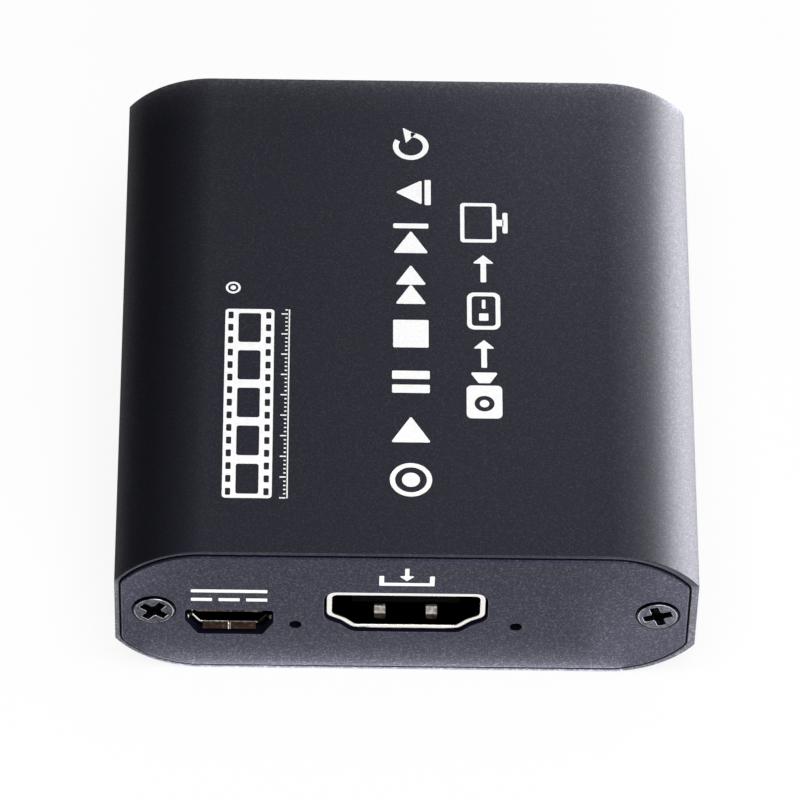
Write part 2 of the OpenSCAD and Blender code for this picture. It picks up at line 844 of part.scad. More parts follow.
module power_contacts() {
  color("#c9a24a") at_front(power_x, power_sink)
    contact_row(power_places, power_contact_width, power_contact_start, power_bend, power_tail,
                power_z, contact_sheet);
}

// Board

module main_board() {
  color("#17402c") difference() {
    translate([-board_half, board_front, board_bottom])
      cube([2 * board_half, board_rear - board_front, board_thickness]);
    at_front(video_in_x, video_sink) video_legs(leg_hole_gap);
    at_front(power_x, power_sink) power_legs(leg_hole_gap);
    at_rear(video_out_x, video_sink) video_legs(leg_hole_gap);
    at_rear(data_x, data_sink) data_legs(leg_hole_gap);
  }
}

// Stands a component on the board
module on_board(place, angle = 0) {
  translate([place[0], place[1], board_height]) rotate([0, 0, angle]) children();
}

// Indicator lamp that shines sideways through its hole in the front plate
module indicator() {
  translate([0, front_y + plate_thickness + indicator_gap, board_height]) {
    translate([-indicator_width / 2, 0, 0])
      cube([indicator_width, indicator_depth, indicator_height]);
    translate([0, 0, indicator_axis]) rotate([90, 0, 0]) rotate_extrude() intersection() {
      circle(indicator_lens);
      square(indicator_lens);
    }
  }
}

module power_indicator() {
  color("#e8d8d4") translate([-indicator_x, 0, 0]) indicator();
}

module signal_indicator() {
  color("#d6e4da") translate([indicator_x, 0, 0]) indicator();
}

// Chips

// A moulded chip body with a round mark in one corner
module chip_body(size) {
  translate([0, 0, chip_standoff]) difference() {
    block(size);
    translate([chip_mark[2] - size[0] / 2, chip_mark[2] - size[1] / 2, size[2] - chip_mark[1]])
      cylinder(r = chip_mark[0], h = chip_mark[1] + over);
  }
}

// Bent leads along the edge of a chip that lies at a distance from the chip's middle
module lead_row(places, width, edge, height, shoulder, reach, sheet) {
  translate([0, edge, 0])
    contact_row(places, width, 0, shoulder, reach, height - sheet / 2, sheet);
}

module large_chip_leads(side, count) {
  for (a = [0:90:270]) rotate([0, 0, a])
    lead_row(row(count, chip_pitch), chip_lead[0], side / 2, chip_standoff + chip_height / 2,
             chip_lead_shoulder, chip_lead_reach, chip_lead[1]);
}

module capture_chip() {
  color("#222226") on_board(capture_at) chip_body([capture_side, capture_side, chip_height]);
}

module capture_chip_leads() {
  color("#b9b9bc") on_board(capture_at) large_chip_leads(capture_side, capture_leads);
}

module repeater_chip() {
  color("#222226") on_board(repeater_at) chip_body([repeater_side, repeater_side, chip_height]);
}

module repeater_chip_leads() {
  color("#b9b9bc") on_board(repeater_at) large_chip_leads(repeater_side, repeater_leads);
}

module memory_chip() {
  color("#222226") on_board(memory_at) chip_body(memory_size);
}

module memory_chip_leads() {
  color("#b9b9bc") on_board(memory_at) for (a = [0, 180]) rotate([0, 0, a])
    lead_row(row(memory_lead_count, memory_lead_pitch), memory_lead_width, memory_size[1] / 2,
             chip_standoff + memory_size[2] / 2, chip_lead_shoulder, chip_lead_reach,
             small_lead_sheet);
}

// Regulators

module regulator() {
  color("#222226") translate([0, 0, chip_standoff]) block(regulator_size);
}

module core_regulator() {
  on_board(core_regulator_at) regulator();
}

module io_regulator() {
  on_board(io_regulator_at) regulator();
}

module regulator_leads() {
  height = chip_standoff + regulator_size[2] / 2;
  color("#b9b9bc") for (place = [core_regulator_at, io_regulator_at]) on_board(place) {
    lead_row([0], regulator_tab_width, regulator_size[1] / 2, height, chip_lead_shoulder,
             regulator_lead_reach, small_lead_sheet);
    rotate([0, 0, 180])
      lead_row(row(regulator_lead_count, regulator_lead_pitch), regulator_lead_width,
               regulator_size[1] / 2, height, chip_lead_shoulder, regulator_lead_reach,
               small_lead_sheet);
  }
}

// Crystals: a drawn can with round ends on a flange

module stadium(length, width) {
  square([length - width, width], center = true);
  for (x = [-1, 1]) translate([x * (length - width) / 2, 0]) circle(d = width);
}

module crystal() {
  color("#c9cacc") {
    linear_extrude(crystal_flange_height)
      stadium(crystal_span, crystal_breadth);
    linear_extrude(crystal_height) stadium(crystal_length, crystal_width);
  }
}

module capture_crystal() {
  on_board(capture_crystal_at, 90) crystal();
}

module repeater_crystal() {
  on_board(repeater_crystal_at) crystal();
}

// Bulk capacitor: a drawn can with a scored top, seated in a moulded base

module bulk_capacitor_can() {
  color("#c4c6ca") on_board(bulk_at) difference() {
    translate([0, 0, bulk_base_seat]) cylinder(d = bulk_diameter, h = bulk_height);
    for (a = [0, 60, 120]) translate([0, 0, bulk_base_seat + bulk_height - bulk_vent_depth])
      rotate([0, 0, a]) block([bulk_diameter / 2, bulk_vent_depth, bulk_vent_depth + over]);
  }
}

module bulk_capacitor_base() {
  half = bulk_side / 2;
  color("#202022") on_board(bulk_at) difference() {
    linear_extrude(bulk_base_height) polygon([
      [-half, -half + bulk_base_cut], [-half + bulk_base_cut, -half],
      [half - bulk_base_cut, -half], [half, -half + bulk_base_cut], [half, half], [-half, half]
    ]);
    translate([0, 0, bulk_base_seat])
      cylinder(d = bulk_diameter + 2 * insulator_gap, h = bulk_base_height);
  }
}

// Inductor: a ferrite block with cut corners and a round core in its top
module power_inductor() {
  cut = inductor_cut;
  half = inductor_side / 2;
  color("#4a4a4c") on_board(inductor_at) difference() {
    linear_extrude(inductor_height) polygon([
      [-half + cut, -half], [half - cut, -half], [half, -half + cut], [half, half - cut],
      [half - cut, half], [-half + cut, half], [-half, half - cut], [-half, -half + cut]
    ]);
    translate([0, 0, inductor_height - inductor_groove[1]]) difference() {
      cylinder(r = inductor_core + inductor_groove[0], h = inductor_groove[1] + over);
      translate([0, 0, -over]) cylinder(r = inductor_core, h = inductor_groove[1] + 3 * over);
    }
  }
}

// Diode with a terminal folded under each end
module input_diode() {
  color("#2a2a2c") on_board(diode_at) {
    translate([0, 0, diode_terminal]) block(diode_size - [0, 0, diode_terminal]);
    for (y = [-1, 1]) translate([0, y * (diode_size[1] / 2 - diode_terminal), 0])
      block([diode_size[0] / 2, 2 * diode_terminal, 2 * diode_terminal]);
  }
}

// Surge arrays behind the contact feet of both video sockets
module surge_arrays() {
  color("#232326") {
    for (x = surge_spread) {
      at_front(video_in_x, video_sink) translate([x, video_tail + surge_from_tail, 0])
        block(surge_size);
      at_rear(video_out_x, video_sink) translate([x, video_tail + surge_from_tail, 0])
        block(surge_size);
    }
  }
}

// Chip capacitors and resistors, with a terminal wrapped round each end

module at_places(places) {
  for (place = places) on_board(place, place[2]) children();
}

module passive_body(height) {
  translate([0, 0, passive_wrap])
    block([passive_length - 2 * passive_end, passive_width, height - 2 * passive_wrap]);
}

module passive_ends(height) {
  for (x = [-1, 1]) translate([x * (passive_length - passive_end) / 2, 0, 0])
    block([passive_end, passive_width + 2 * passive_wrap, height]);
}

module chip_capacitors() {
  color("#9a7350") at_places(capacitor_places) passive_body(capacitor_height);
}

module chip_resistors() {
  color("#1d1d20") at_places(resistor_places) passive_body(resistor_height);
}

module chip_terminals() {
  color("#c2c4c6") {
    at_places(capacitor_places) passive_ends(capacitor_height);
    at_places(resistor_places) passive_ends(resistor_height);
  }
}

housing();
front_plate();
rear_plate();
front_screws();
rear_screws();
main_board();
at_front(video_in_x, video_sink) video_shell();  // video_in_shell
at_front(video_in_x, video_sink) video_insulator();  // video_in_insulator
at_front(video_in_x, video_sink) video_contacts();  // video_in_contacts
at_rear(video_out_x, video_sink) video_shell();  // video_out_shell
at_rear(video_out_x, video_sink) video_insulator();  // video_out_insulator
at_rear(video_out_x, video_sink) video_contacts();  // video_out_contacts
data_shell();
data_insulator();
data_contacts();
power_shell();
power_insulator();
power_contacts();
power_indicator();
signal_indicator();
capture_chip();
capture_chip_leads();
repeater_chip();
repeater_chip_leads();
memory_chip();
memory_chip_leads();
core_regulator();
io_regulator();
regulator_leads();
capture_crystal();
repeater_crystal();
bulk_capacitor_can();
bulk_capacitor_base();
power_inductor();
input_diode();
surge_arrays();
chip_capacitors();
chip_resistors();
chip_terminals();
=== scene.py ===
"""Looks of a small video capture box: an extruded black tube with two sunk end plates, four
sockets and white printed signs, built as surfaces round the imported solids."""

import json
import math

import bpy
import numpy as np
from bpy.props import FloatProperty, FloatVectorProperty, PointerProperty
from mathutils import Euler, Matrix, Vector
from mathutils.geometry import delaunay_2d_cdt


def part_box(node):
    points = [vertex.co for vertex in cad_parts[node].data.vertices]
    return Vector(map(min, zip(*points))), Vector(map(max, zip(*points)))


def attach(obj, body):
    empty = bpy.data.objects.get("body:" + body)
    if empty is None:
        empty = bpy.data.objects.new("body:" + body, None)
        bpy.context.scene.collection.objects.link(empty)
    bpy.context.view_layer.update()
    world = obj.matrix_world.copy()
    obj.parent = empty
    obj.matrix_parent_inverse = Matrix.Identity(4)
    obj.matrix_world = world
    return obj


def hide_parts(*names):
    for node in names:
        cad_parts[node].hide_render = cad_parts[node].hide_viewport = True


bl_info = {
    "name": "Video Capture Box",
    "version": (1, 0, 0),
    "blender": (4, 5, 0),
    "location": "3D View > Sidebar > Capture Box",
    "description": "Builds the dressed surfaces, finishes and studio of a video capture box",
    "category": "Object",
}

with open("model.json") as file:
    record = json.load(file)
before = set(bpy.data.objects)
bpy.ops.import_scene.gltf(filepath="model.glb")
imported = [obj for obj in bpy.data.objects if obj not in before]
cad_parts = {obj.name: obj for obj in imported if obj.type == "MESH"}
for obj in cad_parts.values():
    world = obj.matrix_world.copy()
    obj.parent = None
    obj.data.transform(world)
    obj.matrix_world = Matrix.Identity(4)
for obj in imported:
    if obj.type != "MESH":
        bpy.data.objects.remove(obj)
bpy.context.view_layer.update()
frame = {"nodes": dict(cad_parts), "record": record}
MM = 0.001
PER_METRE = 1000
BODY = "root"

LOW, HIGH = (np.array(corner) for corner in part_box("housing"))
MOUNTS = {m["name"]: np.array(m["pos_m"]) for m in frame["record"]["mounts"]}
PLATE_LOW, PLATE_HIGH = (np.array(corner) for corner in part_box("front_plate"))
SCREW_HIGH = np.array(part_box("front_screws")[1])
MIDDLE = (LOW[2] + HIGH[2]) / 2

# Clearances and thicknesses that the pieces share
THREAD_GAP = 0.02 * MM
PLATE_BACK_BREAK = 0.05 * MM
LAMP_RISE = 1 * MM
INK_SUNK = 0.02 * MM
# Points nearer than this are one point, and tilts with a smaller sine or cosine are square
SAME_PLACE = 1e-8
SQUARE = 0.01


# Settings


def length(name, description, default):
    """A length in metres that is shown in the scene's units."""
    return FloatProperty(
        name=name, description=description, default=default, min=0, unit="LENGTH", precision=5
    )


def number(name, description, default, **limits):
    """A plain number within limits."""
    return FloatProperty(name=name, description=description, default=default, **limits)


def angle(name, description, degrees):
    """An angle, given in degrees and kept in radians."""
    return FloatProperty(
        name=name, description=description, default=math.radians(degrees), subtype="ANGLE"
    )


def colour(name, description, default):
    """A linear colour without alpha."""
    return FloatVectorProperty(
        name=name, description=description, default=default, size=3, min=0, max=1, subtype="COLOR"
    )


class HousingSettings(bpy.types.PropertyGroup):
    """Sizes and colour of the tube"""

    edge_radius: length("Long edge radius", "Radius of the four long rounded edges", 10.0 * MM)
    edge_run: length("Long edge run", "How far in from the side a rounded edge starts", 8.33 * MM)
    side_corner: length("Side corner", "Radius where a rounded edge meets a side wall", 0.3 * MM)
    wall: length("Wall", "Thickness of the tube's wall", 1.2 * MM)
    rim: length("Rim", "Thickness of the rim beside an end plate", 0.57 * MM)
    rim_reach: number("Rim reach", "Stretch of a recess upwards", 1.025, min=1)
    rim_shift: length("Rim shift", "How far a recess lies to the left", 0.14 * MM)
    recess_corner: length("Recess corner", "Corner radius of an end plate's recess", 1.7 * MM)
    cavity_corner: length("Cavity corner", "Corner radius of the tube's inside", 0.5 * MM)
    edge_break: length("Edge break", "Rounding of the tube's sawn outer edge", 0.1 * MM)
    rim_break: length("Rim break", "Rounding of the rim's inner edge", 0.1 * MM)
    # Scuff is wear of the sawn rims and also a painted highlight on the lower ones
    scuff_and_sheen: number("Scuff", "Wear of the sawn rims", 1.8, min=0, max=2)
    colour: colour("Colour", "Dyed oxide of the tube", (0.0024, 0.0025, 0.0034))


class PlateSettings(bpy.types.PropertyGroup):
    """Sizes and colour of the end plates"""

    gap: length("Gap", "Gap between a plate's end and the rim", 0.145 * MM)
    reach: number("Reach", "Stretch of a plate upwards", 1.015, min=1)
    drop: length("Drop", "How far a plate sinks towards the rim's floor", 0.17 * MM)
    shift: length("Shift", "How far a plate lies to the left in its rim", 0.135 * MM)
    # Scuff is wear of a plate's edge and also a painted highlight on its lower part
    scuff_and_sheen: number("Scuff", "Wear of a plate's edge", 1.6, min=0, max=2)
    turn: angle("Turn", "Turn of a plate in its rim", 0.1)
    corner: length("Corner", "Radius of a plate's corners beside the side walls", 1.5 * MM)
    edge_break: length("Edge break", "Rounding of a plate's outer edge", 0.2 * MM)
    hole_break: length("Hole break", "Rounding of the edges of a plate's holes", 0.08 * MM)
    cutout_gap: length("Cut-out gap", "Gap between a socket's shell and its cut-out", 0.25 * MM)
    power_corner: length("Power corner", "Radius of the power cut-out's corners", 0.4 * MM)
    indicator_hole: length("Indicator hole", "Radius of an indicator hole", 0.6 * MM)
    colour: colour("Colour", "Dyed oxide of the end plates", (0.0062, 0.0064, 0.0085))


class ScrewSettings(bpy.types.PropertyGroup):
    """Sizes and colour of the screws"""

    head: length("Head", "Radius of a screw's head", 2 * MM)
    rise: length("Rise", "How far the head stands off the plate's face", 0.15 * MM)
    land: length("Land", "Height of the head's straight edge", 0.25 * MM)
    cone: length("Cone", "Height of the head's cone", 0.8 * MM)
    shank: length("Shank", "Radius of the threaded shank", 1.2 * MM)
    reach: length("Reach", "Length of the shank", 7 * MM)
    rim_break: length("Rim break", "Rounding of the head's face", 0.09 * MM)
    shoulder: length("Shoulder", "Width of the dark slope round the head's face", 0.15 * MM)
    cross_width: length("Cross width", "Width of an arm of the cross recess", 0.84 * MM)
    cross_span: length("Cross span", "Span of the cross recess", 2.8 * MM)
    cross_depth: length("Cross depth", "Depth of the cross recess", 0.8 * MM)
    gap: length("Gap", "Gap between the head and its countersink", 0.12 * MM)
    colour: colour("Colour", "Blackened steel", (0.062, 0.064, 0.08))


class SocketSettings(bpy.types.PropertyGroup):
    """Sizes and plating of the sockets"""

    video_sheet: length("Video sheet", "Thickness of a video shell's sheet", 0.5 * MM)
    data_sheet: length("Data sheet", "Thickness of the data shell's sheet", 0.3 * MM)
    power_sheet: length("Power sheet", "Thickness of the power shell's sheet", 0.25 * MM)
    video_length: length("Video length", "Length of a video shell", 11.3 * MM)
    data_length: length("Data length", "Length of the data shell", 13.2 * MM)
    power_length: length("Power length", "Length of the power shell", 5.2 * MM)
    finger_start: length("Finger start", "How far behind the mouth a finger starts", 0.8 * MM)
    finger_length: length("Finger length", "Length of a spring finger", 4 * MM)
    finger_lift: length("Finger lift", "How far a finger's crest stands in", 0.5 * MM)
    finger_slit: length("Finger slit", "Width of the slit round a finger", 0.04 * MM)
    lip: length("Lip", "Length of the power shell's flared lips", 0.5 * MM)
    flare: length("Flare", "How far the lips flare outwards", 0.38 * MM)
    edge_break: length("Edge break", "Rounding of the sheet's edges", 0.06 * MM)
    nickel: colour("Nickel", "Plating of the shells", (0.93, 0.91, 0.88))
    gold: colour("Gold", "Flash on the contacts", (0.83, 0.62, 0.27))


class PrintSettings(bpy.types.PropertyGroup):
    """Ink of the printed signs"""

    film: length("Film", "Height of the ink above the metal", 0.015 * MM)
    colour: colour("Colour", "Printing ink", (0.9, 0.9, 0.9))


class StageSettings(bpy.types.PropertyGroup):
    """Camera and floor"""

    lens: number("Lens", "Focal length in millimetres", 310.24, min=1)
    yaw: angle("Yaw", "Turn of the view to the right", 1.338)
    pitch: angle("Pitch", "How far the view looks down", 51.257)
    roll: angle("Roll", "Turn of the camera about its view", 1.736)
    camera_place: FloatVectorProperty(
        name="Camera place", description="Where the camera stands",
        default=(-0.01032, -0.42113, 0.52931), size=3, subtype="TRANSLATION", unit="LENGTH",
    )
    floor: colour("Floor", "Colour of the floor", (0.9, 0.9, 0.9))


# Outlines: closed loops of points with their outward normals, counter-clockwise


def unit(vectors):
    """Vectors divided by their lengths."""
    return vectors / np.linalg.norm(vectors, axis=-1, keepdims=True)


def rounded(corners, radii, grow=0.0, steps=8):
    """Polygon with arcs for corners. At each corner the normal turns evenly from one edge's to the
    next's, and a point is the arc's centre plus radius times normal, where the radius counts as
    negative at a corner that dips. Moving every edge outwards by grow adds grow to it."""
    corners = np.asarray(corners, float)
    radii = np.broadcast_to(np.asarray(radii, float), len(corners))
    into = unit(corners - np.roll(corners, 1, 0))
    out = unit(np.roll(corners, -1, 0) - corners)
    first = np.column_stack((into[:, 1], -into[:, 0]))
    second = np.column_stack((out[:, 1], -out[:, 0]))
    turn = np.arctan2(into[:, 0] * out[:, 1] - into[:, 1] * out[:, 0], (into * out).sum(1))
    signed = np.sign(turn) * radii
    mitre = (first + second) / (1 + (first * second).sum(1))[:, None]
    centres = corners - signed[:, None] * mitre
    start = np.arctan2(first[:, 1], first[:, 0])[:, None]
    angles = start + turn[:, None] * np.linspace(0, 1, steps + 1)
    normals = np.stack((np.cos(angles), np.sin(angles)), -1)
    points = centres[:, None] + (signed[:, None, None] + grow) * normals
    return thinned(points.reshape(-1, 2), normals.reshape(-1, 2))


def thinned(points, normals):
    """A loop without points that lie on the one before them."""
    keep = np.linalg.norm(points - np.roll(points, 1, 0), axis=1) > SAME_PLACE
    return points[keep], normals[keep]


def circle(x, z, radius, steps=48):
    """Points at a radius about a centre."""
    angles = np.arange(steps) * 2 * np.pi / steps
    normals = np.column_stack((np.cos(angles), np.sin(angles)))
    return np.array((x, z)) + radius * normals, normals


def rectangle(x, z, width, height, radius, steps=6):
    """Rectangle about a centre, with round corners."""
    w, h = width / 2, height / 2
    corners = [(x - w, z - h), (x + w, z - h), (x + w, z + h), (x - w, z + h)]
    return rounded(corners, radius, 0, steps)


def moved(loop, x, z):
    """A loop shifted in its plane."""
    return loop[0] + np.array((x, z)), loop[1]


def turned(shape, degrees):
    """A shape turned about the middle."""
    a = math.radians(degrees)
    spin = np.array([(math.cos(a), math.sin(a)), (-math.sin(a), math.cos(a))])
    return [(points @ spin, normals @ spin) for points, normals in shape]


def seated(loop, reach, x, z):
    """A loop stretched upwards about the tube's middle, and then moved."""
    points, normals = loop
    points = (points - (0, MIDDLE)) * (1, reach) + (x, MIDDLE + z)
    return points, unit(normals / (1, reach))


def scuffed_and_lit(loop, most):
    """Wear along an outline, which also paints highlights on the lower rims: most at its foot and
    its sides, and none on top.
    """
    return np.interp(loop[1][:, 1], (0, 0.6), (most, 0))


def tube_loop(house, inset, fillet, steps=36, fillet_steps=8):
    """The tube's outline moved inwards. In each quarter a large arc about a fixed centre runs from
    the flat top to a small arc that is tangent to it and to the side wall."""
    half = HIGH[0] - inset
    edge = np.array((HIGH[0] - house.edge_run, HIGH[2] - house.edge_radius - MIDDLE))
    large = house.edge_radius - inset
    rise = math.sqrt((large - fillet) ** 2 - (half - fillet - edge[0]) ** 2)
    small = np.array((half - fillet, edge[1] + rise))
    meet = math.atan2(rise, half - fillet - edge[0])
    side = np.linspace(0, meet, fillet_steps, endpoint=False)
    top = np.linspace(meet, np.pi / 2, steps)
    turns = np.concatenate((side, top))
    normals = np.column_stack((np.cos(turns), np.sin(turns)))
    points = np.concatenate((
        small + fillet * normals[: len(side)], edge + large * normals[len(side):],
    ))
    quarters = [(1, 1, 1), (-1, 1, -1), (-1, -1, 1), (1, -1, -1)]
    loop = [(points[::o] * (x, z), normals[::o] * (x, z)) for x, z, o in quarters]
    return (
        np.concatenate([p for p, _ in loop]) + (0, MIDDLE),
        np.concatenate([n for _, n in loop]),
    )


def round_edge(grow, depth, radius, start, stop, steps=4):
    """Stations round an edge: an arc about a centre given as growth of the loop and depth below
    the face, with the tilt of its normal, 0 along the loop's normal and 90 degrees off the face."""
    tilt = np.radians(np.linspace(start, stop, steps + 1))
    return np.column_stack((grow + radius * np.cos(tilt), depth - radius * np.sin(tilt), tilt))


def station(grow, depth, tilt):
    """One station of a profile."""
    return np.array([(grow, depth, math.radians(tilt))])


# Surfaces


class Plane:
    """A plane that outlines are drawn on, with its origin, its right and its up direction."""

    def __init__(self, origin, right, up):
        self.origin, self.right, self.up = (np.array(v, float) for v in (origin, right, up))
        self.off = np.cross(self.right, self.up)

    def point(self, flat, depth):
        """Flat points carried below the plane by a depth."""
        level = flat[..., :1] * self.right + flat[..., 1:] * self.up
        return self.origin + level - depth * self.off

    def normal(self, flat, tilt):
        """Flat normals tilted off the plane."""
        level = flat[..., :1] * self.right + flat[..., 1:] * self.up
        return np.cos(tilt) * level + np.sin(tilt) * self.off


FRONT = Plane((0, LOW[1], 0), (1, 0, 0), (0, 0, 1))
REAR = Plane((0, HIGH[1], 0), (-1, 0, 0), (0, 0, 1))
TOP = Plane((0, 0, HIGH[2]), (0, 1, 0), (-1, 0, 0))


def inside(points, loop):
    """Which points lie inside a loop, by counting the edges that a ray to the right crosses."""
    a, b = loop, np.roll(loop, -1, 0)
    x, y = points[:, :1], points[:, 1:]
    spans = (a[:, 1] > y) != (b[:, 1] > y)
    rise = np.where(b[:, 1] == a[:, 1], 1, b[:, 1] - a[:, 1])
    cross = x < a[:, 0] + (y - a[:, 1]) * (b[:, 0] - a[:, 0]) / rise
    return (spans & cross).sum(1) % 2 == 1


class Skin:
    """The surface of one piece, gathered as rings of points with normals, and the faces between."""

    def __init__(self):
        self.points, self.normals, self.worn, self.faces, self.count = [], [], [], [], 0

    def ring(self, points, normals, worn=0.0):
        """Adds points with their normals, wear and painted light, and gives their numbers."""
        self.points.append(points)
        self.normals.append(normals)
        self.worn.append(np.full(len(points), worn))
        self.count += len(points)
        return np.arange(self.count - len(points), self.count)

    def band(self, a, b):
        """Quads between two closed rings. They look outwards where the second ring is deeper."""
        self.faces += np.column_stack((a, b, np.roll(b, -1), np.roll(a, -1))).tolist()

    def sweep(self, plane, loop, stations, wear=1.0, face=0.0, wall=0.0):
        """Carries a loop through stations of growth, depth and tilt: a point is the loop's point
        plus growth times its normal, set below the plane by the depth. Wear and painted light are
        strongest where the tilt is half-way round an edge, and an end face or a wall can have some
        of its own. Values below nothing are painted shade on a shut-in wall. Each may be an array
        with a value for each point."""
        points, normals = loop
        rings = []
        for grow, depth, tilt in stations:
            worn = wear * abs(math.sin(2 * tilt)) + face * (abs(math.cos(tilt)) < SQUARE)
            worn = worn + wall * (abs(math.sin(tilt)) < SQUARE)
            place = plane.point(points + grow * normals, depth)
            ring = self.ring(place, plane.normal(normals, tilt), worn)
            if rings:
                self.band(rings[-1], ring)
            rings.append(ring)
        return rings

    def fill(self, plane, rings, back=False):
        """Flat face within an outer ring and round the rings inside it, as Delaunay triangles
        whose middle lies inside an odd number of rings."""
        numbers = np.concatenate(rings)
        flat = [self.flat(plane, ring) for ring in rings]
        joined = np.concatenate(flat)
        sizes = [len(ring) for ring in rings]
        starts = np.cumsum([0] + sizes)
        edges = np.concatenate([
            np.column_stack((np.arange(n), np.roll(np.arange(n), -1))) + s
            for n, s in zip(sizes, starts)
        ])
        found = delaunay_2d_cdt((joined * PER_METRE).tolist(), edges.tolist(), [], 0, 1e-7)
        source = np.array([ids[0] for ids in found[3]])
        triangles = source[np.array(found[2])]
        middles = joined[triangles].mean(1)
        odd = np.sum([inside(middles, loop) for loop in flat], 0) % 2 == 1
        triangles = triangles[odd]
        self.faces += numbers[triangles[:, ::-1] if back else triangles].tolist()

    def flat(self, plane, ring):
        """Points of a ring in a plane's own directions."""
        points = np.concatenate(self.points)[ring] - plane.origin
        return np.column_stack((points @ plane.right, points @ plane.up))

    def object(self, name, material):
        """The finished mesh, shaded with the normals that its formulas give."""
        mesh = bpy.data.meshes.new(name)
        mesh.from_pydata(np.concatenate(self.points).tolist(), [], self.faces)
        # Besides wear, this attribute carries painted highlights above nothing and painted shade
        # below it
        worn = mesh.attributes.new("wear", "FLOAT", "POINT")
        worn.data.foreach_set("value", np.concatenate(self.worn))
        mesh.shade_smooth()
        mesh.normals_split_custom_set_from_vertices(unit(np.concatenate(self.normals)).tolist())
        return placed(mesh, material)


def placed(mesh, material):
    """An object at the origin that shows a mesh and rides with the box."""
    piece = bpy.data.objects.new(mesh.name, mesh)
    bpy.context.scene.collection.objects.link(piece)
    mesh.materials.append(material)
    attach(piece, BODY)
    return piece


def slab(skin, plane, shapes, film, sunk):
    """Flat printed shapes, each an outer loop with loops cut out of it, from a film's height above
    the plane to a depth below it."""
    for shape in shapes:
        tops, feet = [], []
        for i, loop in enumerate(shape):
            way = 1 if i == 0 else -1
            ends = np.array([(0, -film, np.pi / 2), (0, sunk, -np.pi / 2)])
            top, foot = skin.sweep(plane, loop, ends[::way])[::way]
            tops.append(top)
            feet.append(foot)
        skin.fill(plane, tops)
        skin.fill(plane, feet, back=True)


# Shaders


class Value:
    """A shader socket that takes part in expressions: each operation adds one Math node."""

    def __init__(self, graph, socket=None):
        self.graph, self.socket = graph, socket

    def math(self, operation, *values):
        """One operation on numbers."""
        return self.graph.add("ShaderNodeMath", {"operation": operation}, dict(enumerate(values)))

    def __add__(self, other):
        return self.math("ADD", self, other)

    def __sub__(self, other):
        return self.math("SUBTRACT", self, other)

    def __rsub__(self, other):
        return self.math("SUBTRACT", other, self)

    def __mul__(self, other):
        return self.math("MULTIPLY", self, other)

    def __gt__(self, other):
        return self.math("GREATER_THAN", self, other)

    __radd__, __rmul__ = __add__, __mul__


class Graph:
    """The nodes of a material or of the world."""

    def __init__(self, owner):
        owner.use_nodes = True
        self.owner, self.tree = owner, owner.node_tree
        self.tree.nodes.clear()

    def add(self, kind, settings=None, sockets=None, output=0):
        """Adds a node of a type, sets it up, then gives its sockets their values or links."""
        node = self.tree.nodes.new(kind)
        for key, setting in (settings or {}).items():
            if key == "stops":
                elements = node.color_ramp.elements
                while len(elements) < len(setting):
                    elements.new(1)
                for element, (place, shade) in zip(elements, setting):
                    element.position, element.color = place, (*shade, 1)
            else:
                setattr(node, key, setting)
        for key, value in (sockets or {}).items():
            shown = [s for s in node.inputs if s.enabled]
            socket = shown[key] if isinstance(key, int) else next(s for s in shown if s.name == key)
            if isinstance(value, Value):
                self.tree.links.new(value.socket, socket)
            elif hasattr(value, "__len__"):
                socket.default_value = (*value, 1) if socket.type == "RGBA" else tuple(value)
            else:
                socket.default_value = value
        shown = [s for i, s in enumerate(node.outputs) if s.enabled and output in (i, s.name)]
        return Value(self, *shown)

    def object_place(self):
        """Places in the piece's own coordinates."""
        return self.add("ShaderNodeTexCoord", output="Object")

    def axis(self, name):
        """One of the piece's own coordinates."""
        return self.add("ShaderNodeSeparateXYZ", {}, {"Vector": self.object_place()}, name)

    def attribute(self, name):
        """A number that the mesh carries at its points."""
        return self.add("ShaderNodeAttribute", {"attribute_name": name}, {}, "Fac")

    def noise(self, scale, detail=2.0, vector=None, roughness=0.5):
        """Soft noise about one half."""
        return self.add("ShaderNodeTexNoise", {}, {
            "Vector": vector or self.object_place(), "Scale": scale, "Detail": detail,
            "Roughness": roughness,
        })

    def cells(self, scale, output):
        """Cells about scattered points, by their colour or the distance from their point."""
        sockets = {"Vector": self.object_place(), "Scale": scale}
        return self.add("ShaderNodeTexVoronoi", {"feature": "F1"}, sockets, output)

    def stretched(self, x, y, z):
        """Object coordinates scaled by axis, for marks that run one way."""
        sockets = {"Vector": self.object_place(), "Scale": (x, y, z)}
        return self.add("ShaderNodeMapping", {}, sockets)

    def mixed(self, factor, a, b):
        """A colour between two colours."""
        sockets = {"Factor": factor, "A": a, "B": b}
        return self.add("ShaderNodeMix", {"data_type": "RGBA"}, sockets, "Result")

    def span(self, value, low, high, start=0.0, stop=1.0):
        """A value's range carried to another range, with ends held."""
        return self.add(
            "ShaderNodeMapRange", {},
            {"Value": value, "From Min": low, "From Max": high, "To Min": start, "To Max": stop},
        )

    def bump(self, height, distance, strength):
        """Normals of a surface that a height raises by up to a distance."""
        sockets = {"Height": height, "Distance": distance, "Strength": strength}
        return self.add("ShaderNodeBump", {}, sockets, "Normal")

    def surface(self, sockets):
        """Ends the tree in a Principled surface and gives the material."""
        return self.end(self.add("ShaderNodeBsdfPrincipled", {}, sockets))

    def end(self, shader):
        """Ends the tree in its output, and gives its owner."""
        kind = "World" if isinstance(self.owner, bpy.types.World) else "Material"
        self.add("ShaderNodeOutput" + kind, {}, {"Surface": shader})
        return self.owner


def finish(name):
    """An empty material's graph."""
    return Graph(bpy.data.materials.new(name))


def tint(shade, factor):
    """A colour made lighter or darker."""
    return tuple(min(1.0, c * factor) for c in shade)


